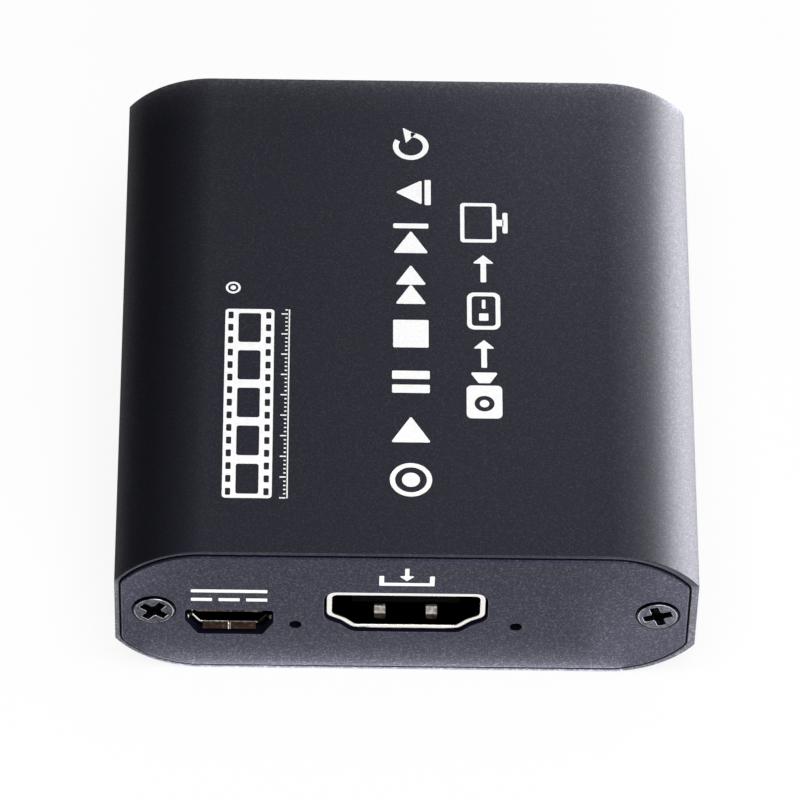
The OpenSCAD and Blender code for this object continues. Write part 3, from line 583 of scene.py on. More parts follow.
def blasted_anodised(name, shade, bright, sparkle, density, haze, cast, side=1.0):
    """Bead-blasted and dyed aluminium: a fine grain of dimples, some of which glint, cloudy dye,
    and edges that are rubbed bare in flecks, where the wear also paints pale highlights. Towards
    the sides the glints can be fewer, and shut-in walls get painted shade, dull and dark."""
    g = finish(name)
    x = g.axis("X")
    sparkle = g.span(x * x, (20 * MM) ** 2, (26 * MM) ** 2, sparkle, sparkle * side)
    grain = g.noise(6400, 2, roughness=0.6)
    cells = g.cells(7600, "Color")
    glint = g.span(g.add("ShaderNodeSeparateColor", {}, {"Color": cells}), 0.72, 1)
    cloud = g.noise(90, 4)
    wear = g.attribute("wear")
    bare = wear * g.span(g.noise(5200, 2), 0.5, 0.68, 0.14, 0.45)
    # Shut-in walls, below nothing, get painted shade
    clear = g.span(wear, -0.7, 0)
    rough = g.span(grain, 0.36, 0.64)
    dye_and_shade = g.mixed(g.span(cloud, 0.3, 0.7), tint(shade, 0.88), tint(shade, 1.14))
    # Painted shade: a much darker dye on shut-in walls
    dye_and_shade = g.mixed(clear, tint(shade, 0.15), g.mixed(rough, dye_and_shade, tint(shade, 1.9)))
    return g.surface({
        "Base Color": g.mixed(bare, dye_and_shade, bright),
        "Roughness": haze + 0.5 - 0.5 * clear - 0.08 * rough,
        "Metallic": bare,
        "IOR": density,
        "Specular Tint": cast,
        "Coat Weight": sparkle * clear * (0.35 * rough + 0.9 * glint),
        "Coat Roughness": 0.38,
        "Normal": g.bump(grain, 0.00002, 0.35),
    })


def black_steel(name, shade):
    """Blackened screw steel: mottled by tool marks, rubbed pale where wear is positive, which also
    carries the rim's painted highlight, and painted black shade where it is negative, in the recess
    and under the head."""
    g = finish(name)
    marks = g.noise(2600, 4)
    wear = g.attribute("wear")
    rubbed_and_painted_light = g.span(wear, 0.2, 1) * g.span(g.noise(1100, 3), 0.3, 0.52)
    patch = g.mixed(g.span(marks, 0.35, 0.7), tint(shade, 0.6), tint(shade, 1.7))
    # Painted shade: where wear is below nothing the steel goes almost black
    painted_recess_shade = g.mixed(g.span(wear, -0.45, 0, 1, 0), patch, tint(shade, 0.03))
    return g.surface({
        "Base Color": g.mixed(rubbed_and_painted_light, painted_recess_shade, (0.58, 0.58, 0.61)),
        "Metallic": 1.0,
        "Roughness": g.span(marks, 0.3, 0.7, 0.24, 0.38),
        "Normal": g.bump(marks, 0.00001, 0.35),
    })


def plated_sheet(name, shade, stain):
    """Plated sheet: drawing lines along the shell, and a painted brightness that runs from painted
    shade deep in a socket by stained, dull metal to the bare plating of its mouth and the painted
    highlights of its fingers and edges, uneven in patches."""
    g = finish(name)
    lines = g.noise(2600, 3, g.stretched(1, 0.08, 1))
    patch = g.noise(2400, 3)
    # The bright attribute is painted light: shade in a socket's depth, highlights on crests and
    # edges
    rubbed_and_painted_light = g.attribute("bright")
    stained = g.span(rubbed_and_painted_light, 0.1, 0.3, 0, 0.7) * g.span(rubbed_and_painted_light, 0.6, 1, 1, 0)
    uneven = rubbed_and_painted_light + stained * (patch - 0.5)
    soiled = g.span(rubbed_and_painted_light, 0.05, 0.2) * g.span(rubbed_and_painted_light, 0.65, 0.85, 1, 0)
    # The darkest tone is painted shade, and the top tone gives painted highlights their plating
    tones = [(0, tint(stain, 0.12)), (0.25, stain), (0.5, (0.2, 0.16, 0.13)), (0.9, shade)]
    return g.surface({
        "Base Color": g.add("ShaderNodeValToRGB", {"stops": tones}, {"Fac": uneven}),
        "Metallic": 1.0,
        "Roughness": g.span(lines, 0.3, 0.7, 0.14, 0.26) + 0.3 * soiled,
        "Normal": g.bump(lines, 0.000004, 0.3),
    })


def moulded(name, shade, gloss, grain, sheen=0.5):
    """Moulded resin: an even shade with a fine texture and slightly uneven gloss."""
    g = finish(name)
    texture = g.noise(grain, 3)
    return g.surface({
        "Base Color": g.mixed(g.span(texture, 0.3, 0.7), tint(shade, 0.85), tint(shade, 1.2)),
        "Roughness": g.span(texture, 0.3, 0.7, gloss - 0.07, gloss + 0.07),
        "Specular IOR Level": sheen,
        "Normal": g.bump(texture, 0.000008, 0.35),
    })


def bare_metal(name, shade, gloss, way):
    """Drawn or plated metal with fine marks that run one way."""
    g = finish(name)
    marks = g.noise(2400, 3, g.stretched(*way))
    return g.surface({
        "Base Color": g.mixed(g.span(marks, 0.3, 0.7), tint(shade, 0.88), tint(shade, 1.06)),
        "Metallic": 1.0,
        "Roughness": g.span(marks, 0.3, 0.7, gloss - 0.06, gloss + 0.08),
        "Normal": g.bump(marks, 0.000005, 0.3),
    })


def solder_mask(name):
    """Green mask over laminate: raised tracks that run both ways, and plated via dots. The ends of
    the board are almost black, and only its middle has vias."""
    g = finish(name)
    bent = {"Vector": g.object_place(), "Distortion": 3, "Detail": 1, "Detail Scale": 0.4}
    along, across = (
        g.add(
            "ShaderNodeTexWave",
            {"wave_type": "BANDS", "wave_profile": "TRI", "bands_direction": way},
            {**bent, "Scale": scale}, "Fac",
        )
        for way, scale in (("X", 330), ("Y", 290))
    )
    side = g.noise(60, 1) > 0.5
    track = g.span(side * along + (1 - side) * across, 0.62, 0.7)
    dots = g.cells(420, "Distance")
    y = g.axis("Y")
    board_middle = g.span(y * y, (21 * MM) ** 2, (24 * MM) ** 2, 1, 0)
    via = board_middle * g.span(dots, 0.1, 0.14, 1, 0)
    mask = g.mixed(track, (0.006, 0.045, 0.02), (0.016, 0.09, 0.04))
    mask = g.mixed(board_middle, (0.0008, 0.002, 0.0015), mask)
    return g.surface({
        "Base Color": g.mixed(via, mask, (0.7, 0.62, 0.42)),
        "Metallic": via,
        "Roughness": g.span(g.noise(500, 3), 0.3, 0.7, 0.26, 0.4),
        "Normal": g.bump(track, 0.00003, 0.5),
    })


def pressed_ferrite(name):
    """Pressed ferrite: dark, rough and speckled."""
    g = finish(name)
    grain = g.noise(3000, 4)
    return g.surface({
        "Base Color": g.mixed(g.span(grain, 0.4, 0.65), (0.035, 0.035, 0.037), (0.1, 0.1, 0.105)),
        "Roughness": 0.75,
        "Normal": g.bump(grain, 0.00002, 0.5),
    })


def printing_ink(name, shade):
    """Pad-printed ink: matt, with faint mottle."""
    g = finish(name)
    mottle = g.noise(2600, 3)
    return g.surface({
        "Base Color": g.mixed(g.span(mottle, 0.35, 0.7), shade, tint(shade, 0.93)),
        "Roughness": g.span(mottle, 0.3, 0.7, 0.48, 0.6),
        "Normal": g.bump(mottle, 0.000003, 0.3),
    })


def lamp_resin(name, shade):
    """Clear resin over a pale lamp body: glossy, with a faint cast."""
    g = finish(name)
    cast = g.noise(900, 2)
    return g.surface({
        "Base Color": g.mixed(g.span(cast, 0.3, 0.7), shade, tint(shade, 0.8)),
        "Roughness": g.span(cast, 0.3, 0.7, 0.1, 0.2),
        "Coat Weight": 0.6,
    })


# Housing


# Distance from the tube's rear end in millimetres, and how much painted highlight, drawn as bare
# wear, its top takes there
REAR_PAINTED_SHEEN = ((5, 0), (2.2, 0.17), (1.1, 0.46), (0.45, 1.05))
# The painted highlight on the rear top edge itself
REAR_EDGE_PAINTED_SHEEN = 2.0
# Screw ports and board ledges inside the tube, and how far they run into its wall
INTO_WALL = 0.1 * MM
PORT_WALL, PORT_SLIT, PORT_CORNER, PORT_BREAK = 1 * MM, 1.2 * MM, 0.05 * MM, 0.03 * MM
LEDGE_WIDTH, LEDGE_HEIGHT, LEDGE_CORNER, LEDGE_BREAK = 2 * MM, 1 * MM, 0.1 * MM, 0.05 * MM
BOARD_PLAY = 0.15 * MM


def housing_skin(house):
    """The tube as one chain of rings, from the front ledge out over the rim, along the outside,
    round the rear rim and back through the cavity. Its top takes a pale painted highlight towards
    the rear."""
    long, deep = HIGH[1] - LOW[1], PLATE_HIGH[1] - PLATE_LOW[1]
    e, r = house.edge_break, house.rim_break
    outer = tube_loop(house, 0, house.side_corner)
    recess = tube_loop(house, house.rim, house.recess_corner)
    front, rear = (seated(recess, house.rim_reach, way * house.rim_shift, 0) for way in (-1, 1))
    cavity = tube_loop(house, house.wall, house.cavity_corner)
    front_rim = np.concatenate((station(0, deep, 150), round_edge(r, r, r, 180, 90)))
    rear_rim = np.concatenate((
        round_edge(r, long - r, r, -90, -180), station(0, long - deep, -150),
    ))
    skin = Skin()
    chain = []
    for loop, stations, rubbed_and_painted_light in (
        (cavity, station(0, deep, 120), 0),
        (front, front_rim, 0),
        (outer, round_edge(-e, e, e, 90, 0, 6), 0),
        *((outer, station(0, long - back * MM, 0), rubbed_and_painted_light) for back, rubbed_and_painted_light in REAR_PAINTED_SHEEN),
        (outer, round_edge(-e, long - e, e, 0, -90, 6), REAR_EDGE_PAINTED_SHEEN),
        (rear, rear_rim, 0),
        (cavity, station(0, long - deep, -120), 0),
    ):
        # The painted highlight near the rear is only on what looks up, and weaker on the left; the
        # wear at the foot and sides is painted highlight as well
        wear = scuffed_and_lit(loop, house.scuff_and_sheen)
        rubbed_and_painted_light = rubbed_and_painted_light * np.interp(loop[1][:, 1], (0, 0.5), (0, 1))
        rubbed_and_painted_light = rubbed_and_painted_light * np.interp(loop[0][:, 0], (-20 * MM, 0), (0.45, 1))
        rings = skin.sweep(FRONT, loop, stations, np.maximum(wear, rubbed_and_painted_light), wear, rubbed_and_painted_light)
        if chain:
            skin.band(chain[-1], rings[0])
        chain += rings
    skin.band(chain[-1], chain[0])
    return skin


def screw_x(screw):
    """How far from the middle the screws are."""
    return SCREW_HIGH[0] - screw.head


def prism(skin, plane, loop, near, far, edge):
    """A loop carried straight below a plane, with rounded end edges and flat ends."""
    rings = skin.sweep(plane, loop, np.concatenate((
        round_edge(-edge, near + edge, edge, 90, 0, 2),
        round_edge(-edge, far - edge, edge, 0, -90, 2),
    )))
    skin.fill(plane, [rings[0]])
    skin.fill(plane, [rings[-1]], back=True)


def port_loop(x, side, radius, bore, slit):
    """A screw port: a round wall about a bore, joined to the side wall and open by a slit towards
    the board. The outer arc runs round the free half, and the inner arc back round the bore."""
    def arc(turns, r):
        """Points about the bore."""
        return np.column_stack((x + r * np.cos(turns), MIDDLE + r * np.sin(turns)))

    free = np.pi + np.linspace(-1, 1, 30) * (np.pi / 2)
    lips = math.asin(slit / 2 / radius), math.asin(slit / 2 / bore)
    upper = free[free < np.pi - lips[0]]
    lower = free[free > np.pi + lips[0]]
    back = np.linspace(-np.pi + lips[1], np.pi - lips[1], 40)
    points = np.concatenate((
        [(side, MIDDLE - radius), (side, MIDDLE + radius)], arc(upper, radius),
        arc(back[::-1], bore), arc(lower, radius),
    ))
    return rounded(points, PORT_CORNER, 0, 2)


def build_housing(house, screw, board):
    """The tube, with its screw ports and the ledges that hold the board."""
    skin = housing_skin(house)
    near, far = PLATE_HIGH[1] - LOW[1], HIGH[1] - PLATE_HIGH[1]
    wall = HIGH[0] - house.wall
    side = wall + INTO_WALL
    bore = screw.shank + THREAD_GAP
    port = port_loop(screw_x(screw), side, bore + PORT_WALL, bore, PORT_SLIT)
    ledge_x, ledge_width = (side + wall - LEDGE_WIDTH) / 2, side - wall + LEDGE_WIDTH
    below, above = board[0][2] - LEDGE_HEIGHT / 2, board[1][2] + BOARD_PLAY + LEDGE_HEIGHT / 2
    ledges = [
        rectangle(ledge_x, z, ledge_width, LEDGE_HEIGHT, LEDGE_CORNER) for z in (below, above)
    ]
    for plane in (FRONT, REAR):
        prism(skin, plane, port, near, far, PORT_BREAK)
        for ledge in ledges:
            prism(skin, plane, ledge, near, far, LEDGE_BREAK)
    material = blasted_anodised(
        "anodised_tube", house.colour, bright=(0.3, 0.3, 0.33), sparkle=0.68, density=1.5,
        haze=0.52, cast=(0.64, 0.66, 1), side=0.4,
    )
    piece = skin.object("housing_tube", material)
    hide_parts("housing")


# End plates


def hole_stations(deep, front, back):
    """Profile of a plain hole from the plate's back face to its front face."""
    return np.concatenate((
        round_edge(back, deep - back, back, -90, -180, 2),
        round_edge(front, front, front, 180, 90),
    ))


def countersink_stations(deep, screw, edge):
    """Profile of a countersunk hole, from the back face through the bore and cone to the front."""
    bore = screw.shank + THREAD_GAP - screw.head
    top = screw.land - screw.rise
    return np.concatenate((
        round_edge(bore + edge, deep - edge, edge, -90, -180, 2),
        station(bore, top + screw.cone, 160), station(0, top, 150),
        round_edge(edge, edge, edge, 180, 90),
    ))


def build_plate(name, node, plane, holes, house, plate, screw):
    """A flat plate with rounded edges, cut by socket and indicator holes and two countersinks. Its
    edge rests on the rim's floor, a little askew, so that most of the gap is above it."""
    deep = PLATE_HIGH[1] - PLATE_LOW[1]
    e, b = plate.edge_break, PLATE_BACK_BREAK
    skin = Skin()
    outline = tube_loop(house, house.rim + plate.gap, plate.corner)
    outline = seated(outline, plate.reach, 0, -MIDDLE)
    outline = turned([outline], math.degrees(plate.turn))[0]
    outline = moved(outline, -plate.shift, MIDDLE - plate.drop)
    # The plate's edge wear is also a painted highlight at its foot and sides
    edge = skin.sweep(plane, outline, np.concatenate((
        round_edge(-e, e, e, 90, 0, 5), round_edge(-b, deep - b, b, 0, -90, 2),
    )), scuffed_and_lit(outline, plate.scuff_and_sheen))
    fronts, backs = [edge[0]], [edge[-1]]
    port_x = screw_x(screw)
    mouths = [circle(x, MIDDLE, screw.head + screw.gap, 64) for x in (-port_x, port_x)]
    for loop, stations, wall in (
        # A plain hole's wall gets painted shade
        *((loop, hole_stations(deep, plate.hole_break, b), -1) for loop in holes),
        *((loop, countersink_stations(deep, screw, plate.hole_break), 0) for loop in mouths),
    ):
        rings = skin.sweep(plane, loop, stations, wall=wall)
        fronts.append(rings[-1])
        backs.append(rings[0])
    skin.fill(plane, fronts)
    skin.fill(Plane(plane.origin - deep * plane.off, plane.right, plane.up), backs, back=True)
    material = bpy.data.materials.get("anodised_plate") or blasted_anodised(
        "anodised_plate", plate.colour, bright=(0.24, 0.24, 0.28), sparkle=1.0, density=1.42,
        haze=0.46, cast=(0.36, 0.38, 1),
    )
    piece = skin.object(name, material)
    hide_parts(node)


# Screws


# The slope round a head's face, dark with painted shade, from its upper end to its lower one, and
# the shank's point
SLOPE_TOP, SLOPE_FOOT, SHANK_POINT = 0.05 * MM, 0.15 * MM, 0.4 * MM
# A cross recess: its rim's rounding, its corners' radii, and what its floor keeps of its mouth
CROSS_BREAK, CROSS_TIP, CROSS_CROOK, FLOOR_CORNER = 0.06 * MM, 0.12 * MM, 0.22 * MM, 0.1 * MM
FLOOR_WIDTH, FLOOR_SPAN = 0.6, 0.4


def cross_loop(x, turn, width, span, tip, crook):
    """A cross: a twelve-cornered outline with round tips and crooks, turned about its middle."""
    w, s = width / 2, span / 2
    corners = np.array([
        (s, -w), (s, w), (w, w), (w, s), (-w, s), (-w, w), (-s, w), (-s, -w), (-w, -w), (-w, -s),
        (w, -s), (w, -w),
    ])
    shape = [rounded(corners, np.tile([tip, tip, crook], 4), 0, 5)]
    return moved(turned(shape, turn)[0], x, MIDDLE)


def build_screws(name, node, plane, turns, screw, material):
    """Two countersunk screws: a revolved head and shank, with a tapered cross sunk in the head."""
    skin = Skin()
    port_x = screw_x(screw)
    r, face, e = screw.rim_break, -screw.rise, CROSS_BREAK
    cone = face + screw.land + screw.cone
    neck = screw.shank - screw.head
    for x, turn in zip((-port_x, port_x), turns):
        round_head = circle(x, MIDDLE, screw.head, 64)
        rim = skin.sweep(plane, round_head, round_edge(-r - screw.shoulder, face + r, r, 90, 40, 5))
        # The slope, the underside and the shank get painted shade
        stem = skin.sweep(plane, round_head, np.concatenate((
            station(SLOPE_TOP - screw.shoulder, face + SLOPE_TOP, 48),
            station(0, face + SLOPE_FOOT, 35),
            station(0, face + screw.land, -20), station(neck, cone, -20),
            station(neck, cone + screw.reach - SHANK_POINT, -10),
            station(neck - SHANK_POINT, cone + screw.reach, -70),
        )), -1)
        skin.band(rim[-1], stem[0])
        floor = cross_loop(
            x, turn, screw.cross_width * FLOOR_WIDTH, screw.cross_span * FLOOR_SPAN,
            FLOOR_CORNER, FLOOR_CORNER,
        )
        mouth = cross_loop(
            x, turn, screw.cross_width, screw.cross_span, CROSS_TIP, CROSS_CROOK
        )
        # The cross's floor gets painted shade
        foot = skin.sweep(plane, floor, station(0, face + screw.cross_depth, 130), -1)
        walls = skin.sweep(plane, mouth, round_edge(e, face + e, e, 180, 90, 5))
        skin.band(foot[0], walls[0])
        skin.fill(plane, [rim[0], walls[-1]])
        skin.fill(plane, [foot[0]])
        skin.fill(plane, [stem[-1]], back=True)
    piece = skin.object(name, material)
    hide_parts(node)


# Sockets


# The openings, by their corners and the radii that round them, and the power socket's cut-out
VIDEO_CORNERS = np.array([
    (7, 2.275), (3.85, 2.275), (2.35, 2.275), (-2.35, 2.275), (-3.85, 2.275), (-7, 2.275),
    (-7, -0.6), (-5.75, -1.3), (-4.75, -2.275), (-3.2, -2.275), (-1.7, -2.275), (1.7, -2.275),
    (3.2, -2.275), (4.75, -2.275), (5.75, -1.3), (7, -0.6),
]) * MM
VIDEO_RADII = np.array([0.5, 0, 0, 0, 0, 0.5, 0.5, 2, 0.5, 0, 0, 0, 0, 0.5, 2, 0.5]) * MM
DATA_CORNERS = np.array([
    (6.25, 2.56), (4.3, 2.56), (2.3, 2.56), (-2.3, 2.56), (-4.3, 2.56), (-6.25, 2.56), (-6.25, 1),
    (-6.25, -1), (-6.25, -2.56), (-4.3, -2.56), (-2.3, -2.56), (2.3, -2.56), (4.3, -2.56),
    (6.25, -2.56), (6.25, -1), (6.25, 1),
]) * MM
DATA_RADII = np.array([0.4, 0, 0, 0, 0, 0.4, 0, 0, 0.4, 0, 0, 0, 0, 0.4, 0, 0]) * MM
POWER_CORNERS = np.array([
    (3.45, 0.925), (-3.45, 0.925), (-3.45, 0.225), (-2.7, -0.925), (-0.03, -0.925), (0.03, -0.925),
    (2.7, -0.925), (3.45, 0.225),
]) * MM
POWER_RADII = np.array([0.3, 0.3, 0.25, 0.25, 0, 0, 0.25, 0.25]) * MM
POWER_CUTOUT = np.array([
    (4.2, 1.87), (-4.2, 1.87), (-4.2, 0.3), (-2.95, -1.9), (3.15, -1.9), (4.2, 0),
]) * MM
# Columns of a bent strip, as parts of its width, with a narrow hem along each side
STRIP_COLUMNS = (-0.5, -0.44, 0, 0.44, 0.5)
# Half of a leg's width, and the height at which legs end
LEG_HALF, LEG_FOOT = 0.6 * MM, 3.8 * MM
# The depth over which a shell's bright mouth fades into painted shade, and the bend from which an
# edge of sheet is broken
MOUTH_DEPTH, SHEET_BEND = 0.15 * MM, math.radians(50)
# The power shell: the depths of its legs, the rounding of its edges, the place of the seam in its
# floor, and where along its mouth painted shade darkens the right end, with the brightness there
POWER_LEGS, POWER_BREAK = np.array((1.6, 3.8)) * MM, 0.045 * MM
SEAM_WIDTH, SEAM_HEIGHT = (-0.05 * MM, 0.05 * MM), (-2 * MM, -0.8 * MM)
POWER_FADE = (2.6 * MM, 2.75 * MM), (1, 0.1)
# Its lips: how far they reach into the wall, and their brightness between their root and end
LIP_ROOT, LIP_STAIN = 0.06 * MM, 0.22


class Sheet:
    """A shell of thin sheet, gathered as the grids that run through the middle of the sheet."""

    def __init__(self, plane, sheet):
        self.plane, self.sheet = plane, sheet
        self.points, self.bright, self.faces, self.count = [], [], [], 0

    def grid(self, points, closed, keep=None, bright=0.0):
        """Adds a grid of points and the quads between them, but not those that keep leaves out.
        Points carry a painted brightness: highlights where it is high, shade where it is low."""
        rows, columns = points.shape[:2]
        numbers = np.arange(rows * columns).reshape(rows, columns) + self.count
        beside = np.roll(numbers, -1, 1) if closed else numbers[:, 1:]
        numbers = numbers if closed else numbers[:, :-1]
        quads = np.stack((numbers[:-1], numbers[1:], beside[1:], beside[:-1]), -1)
        self.faces += (quads[keep] if keep is not None else quads.reshape(-1, 4)).tolist()
        self.points.append(points.reshape(-1, 3))
        self.bright.append(np.broadcast_to(bright, (rows, columns)).ravel())
        self.count += rows * columns

    def tube(self, corners, radii, centre, depths, windows, fade=((0, 1), (1, 1))):
        """The wall: the outline through the middle of the sheet at each depth, with windows left
        open.
        A window is a flat box with a range of depths. The mouth is bright and everything deeper
        gets painted shade, and the fade gives places across the mouth with their brightness."""
        points, _ = rounded(corners, radii, self.sheet / 2, 5)
        grid = self.plane.point(points[None] + centre, np.array(depths)[:, None, None])
        middles = (points + np.roll(points, -1, 0)) / 2
        rows = (np.array(depths)[1:] + np.array(depths)[:-1]) / 2
        keep = np.ones((len(rows), len(middles)), bool)
        for (x0, x1), (z0, z1), (y0, y1) in windows:
            flat = (middles > (x0, z0)).all(1) & (middles < (x1, z1)).all(1)
            keep &= ~(((rows > y0) & (rows < y1))[:, None] & flat[None])
        mouth = np.arange(len(depths)) < 1
        self.grid(grid, True, keep, np.multiply.outer(mouth, np.interp(points[:, 0], *fade)))

    def strip(self, centre, inward, place, distance, width, depth, lift, bright):
        """A strip bent out of the wall: across its width it is level, and along it the depth, the
        lift off the wall and, where it varies, the width follow arrays."""
        inward = np.array(inward, float)
        across = np.array((inward[1], -inward[0]))
        wide = np.multiply.outer(np.broadcast_to(width, depth.shape), STRIP_COLUMNS)
        flat = (
            centre + (place + wide)[:, :, None] * across
            + (lift - distance)[:, None, None] * inward
        )
        self.grid(self.plane.point(flat, depth[:, None, None]), False, None, bright)

    def legs(self, centre, wide, depths):
        """Flat legs that go down from both side walls at each depth."""
        for depth in depths:
            for way in (-1, 1):
                x = centre[0] + way * (wide + self.sheet / 2)
                flat = np.array([(x, centre[1]), (x, LEG_FOOT)])
                rows = depth + np.array((-LEG_HALF, LEG_HALF))[::way]
                leg = self.plane.point(np.repeat(flat[:, None], 2, 1), rows[None, :, None])
                self.grid(leg, False)

    def object(self, name, material, edge):
        """The finished shell, with the sheet's thickness and softly broken edges."""
        mesh = bpy.data.meshes.new(name)
        mesh.from_pydata(np.concatenate(self.points).tolist(), [], self.faces)
        bright = mesh.attributes.new("bright", "FLOAT", "POINT")
        bright.data.foreach_set("value", np.concatenate(self.bright))
        mesh.shade_smooth()
        piece = placed(mesh, material)
        wall = piece.modifiers.new("sheet", "SOLIDIFY")
        wall.thickness, wall.offset, wall.use_even_offset = self.sheet, 0, True
        broken = piece.modifiers.new("edges", "BEVEL")
        broken.width, broken.segments, broken.limit_method = edge, 3, "ANGLE"
        broken.angle_limit, broken.use_clamp_overlap = SHEET_BEND, True
        even = piece.modifiers.new("shading", "WEIGHTED_NORMAL")
        even.keep_sharp = True
        return piece


def finger_path(sockets):
    """Depth, lift, painted brightness and width along a spring finger: it leaves the wall near the
    mouth by a narrow root, rises ever steeper to a crest with a painted highlight, stays level and
    drops towards its free end."""
    t = np.linspace(0, 1, 60)
    depth = sockets.finger_start + t * sockets.finger_length
    rise = np.interp(t, (0, 0.14, 0.32, 0.35, 0.5, 1), (0, 0.18, 0.98, 1, 1, 0.3))
    # Painted light: shade low on the ramp, a highlight up to the crest, and shade beyond
    bright = np.interp(
        t, (0, 0.06, 0.13, 0.17, 0.22, 0.27, 0.31, 0.33, 0.35),
        (0.24, 0.4, 0.5, 0.68, 0.6, 0.66, 0.8, 0.8, 0.05),
    )
    width = np.interp(t, (0, 0.04, 0.1), (0.74, 0.92, 1))
    return depth, sockets.finger_lift * rise, bright[:, None], width


def legged_shell(name, node, plane, mount, kind, sockets, material):
    """A rolled shell with spring fingers cut from its walls, and legs that go through the board.
    Fingers and legs are given in millimetres: a finger by its inward direction, its place along
    the wall, the wall's distance from the middle and its width, and a leg by its depth."""
    corners, radii, fingers, legs, sheet, long = kind
    seat = MOUNTS[mount] - plane.origin
    centre, sink = np.array((seat @ plane.right, seat[2])), abs(seat[1])
    shell = Sheet(plane, sheet)
    root = sockets.finger_start
    end = root + sockets.finger_length + sockets.finger_slit
    depth, lift, bright, narrow = finger_path(sockets)
    windows = []
    for inward, *measures in fingers:
        place, distance, width = (measure * MM for measure in measures)
        across = np.array((inward[1], -inward[0]))
        half = width / 2 + sockets.finger_slit
        middle = place * across - np.array(inward) * (distance + sheet / 2)
        reach = np.abs(across) * half + np.abs(inward) * sheet
        windows.append((*zip(middle - reach, middle + reach), (root + sink, end + sink)))
        shell.strip(
            centre, inward, place, distance + sheet / 2, width * narrow, sink + depth, lift, bright
        )
    depths = sink + np.array([0, MOUTH_DEPTH, root, end, long * 0.75, long])
    shell.tube(corners, radii, centre, depths, windows)
    shell.legs(centre, corners[:, 0].max(), sink + np.array(legs) * MM)
    piece = shell.object(name, material, sockets.edge_break)
    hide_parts(node)


def flared_shell(sockets, material):
    """The power socket's shell: a rolled tube with a seam in its floor, and lips that flare from
    its walls. The lips bend outwards ever faster, by their place to the power of 1.5."""
    place = MOUNTS["power_input"]
    centre, sink = np.array((place[0], place[2])), place[1] - LOW[1]
    sheet, lip = sockets.power_sheet, sockets.lip
    shell = Sheet(FRONT, sheet)
    depths = sink + np.array([lip, lip + 0.08 * MM, lip + 0.6 * MM, sockets.power_length])
    seam = SEAM_WIDTH, SEAM_HEIGHT, (depths[0], depths[-1])
    shell.tube(POWER_CORNERS, POWER_RADII, centre, depths, [seam], POWER_FADE)
    t = np.linspace(0, 1, 9)
    depth, lift = sink + (lip + LIP_ROOT) * (1 - t), -sockets.flare * t ** 1.5
    # Painted highlights at a lip's root, its free edge and along the seam, and between them the
    # lip's stain; the right lip is dimmer with painted shade
    root = np.interp(t, (0, 0.06, 0.15), (1, 0.95, LIP_STAIN))[:, None]
    free = t[:, None] ** 8
    ends = np.maximum(root, [(*[LIP_STAIN] * 4, 1)])
    # Inward direction, place along the wall, the wall's distance from the middle, width, painted
    # brightness
    for inward, *measures, bright in (
        ((0, 1), -1.28, 0.925, 2.52, ends), ((0, 1), 1.28, 0.925, 2.52, ends[:, ::-1]),
        ((0, -1), 0, 0.925, 6.3, np.maximum(root, free * 0.3)),
        ((1, 0), -0.46, 3.45, 0.5, np.maximum(root, free)),
        ((-1, 0), 0.46, 3.45, 0.5, np.maximum(root * 0.3, free * 0.6)),
    ):
        spot, distance, width = (measure * MM for measure in measures)
        shell.strip(centre, inward, spot, distance + sheet / 2, width, depth, lift, bright)
    shell.legs(centre, POWER_CORNERS[:, 0].max(), sink + POWER_LEGS)
    piece = shell.object("power_socket_shell", material, POWER_BREAK)
    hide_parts("power_shell")


# Printed signs, in millimetres about their own middle: each shape is an outer loop and its cut-outs


def plate_sign(points, radius=0.12):
    """One solid shape with slightly round corners."""
    return [rounded(points, radius, 0, 3)]


def play(x=0.0, size=1.9):
    """A triangle that points to the right."""
    return plate_sign([(x - size * 0.75, -size), (x + size * 0.9, 0), (x - size * 0.75, size)])


def bar(x, width, height, z=0.0):
    """A solid bar with slightly round corners."""
    return [rectangle(x, z, width, height, 0.12, 3)]


def arrow(reach, head, thick):
    """An arrow to the right: a shaft and a triangular head in one outline."""
    neck = reach - head
    return plate_sign([
        (-reach, -thick), (neck, -thick), (neck, -head), (reach, 0), (neck, head), (neck, thick),
        (-reach, thick),
    ], 0.08)


def shifted(shapes, x, z):
    """Shapes moved in their plane."""
    return [[moved(loop, x, z) for loop in shape] for shape in shapes]


def ring_part(inner, outer, start, stop):
    """Part of a ring between two angles: the outer arc one way and the inner arc back."""
    turns = np.radians(np.linspace(start, stop, 40))
    rays = np.column_stack((np.cos(turns), np.sin(turns)))
    points = np.concatenate((outer * rays, inner * rays[::-1]))
    return [(points, np.concatenate((rays, -rays[::-1])))]


def repeat_sign():
    """Most of a ring with an arrow's head at its end."""
    head = plate_sign([(-0.1, -0.95), (0.95, 0.15), (-1.05, 0.25)], 0.06)
    return [ring_part(1.2, 1.75, 60, 360), *shifted([turned(head, 12)], 1.5, 0.45)]


def control_signs():
    """The usual transport signs of a recorder, in reading order."""
    return [
        [[circle(0, 0, 2.0), circle(0, 0, 1.5)], [circle(0, 0, 0.85)]],
        [play()],
        [bar(-0.85, 1.0, 3.6), bar(0.85, 1.0, 3.6)],
        [bar(0, 3.4, 3.4)],
        [play(-1.1, 1.5), play(1.3, 1.5)],
        [play(-0.5, 1.7), bar(1.65, 0.6, 3.4)],
        [turned(play(0.1, 1.55), 90), bar(0, 3.2, 0.6, -1.65)],
        repeat_sign(),
    ]


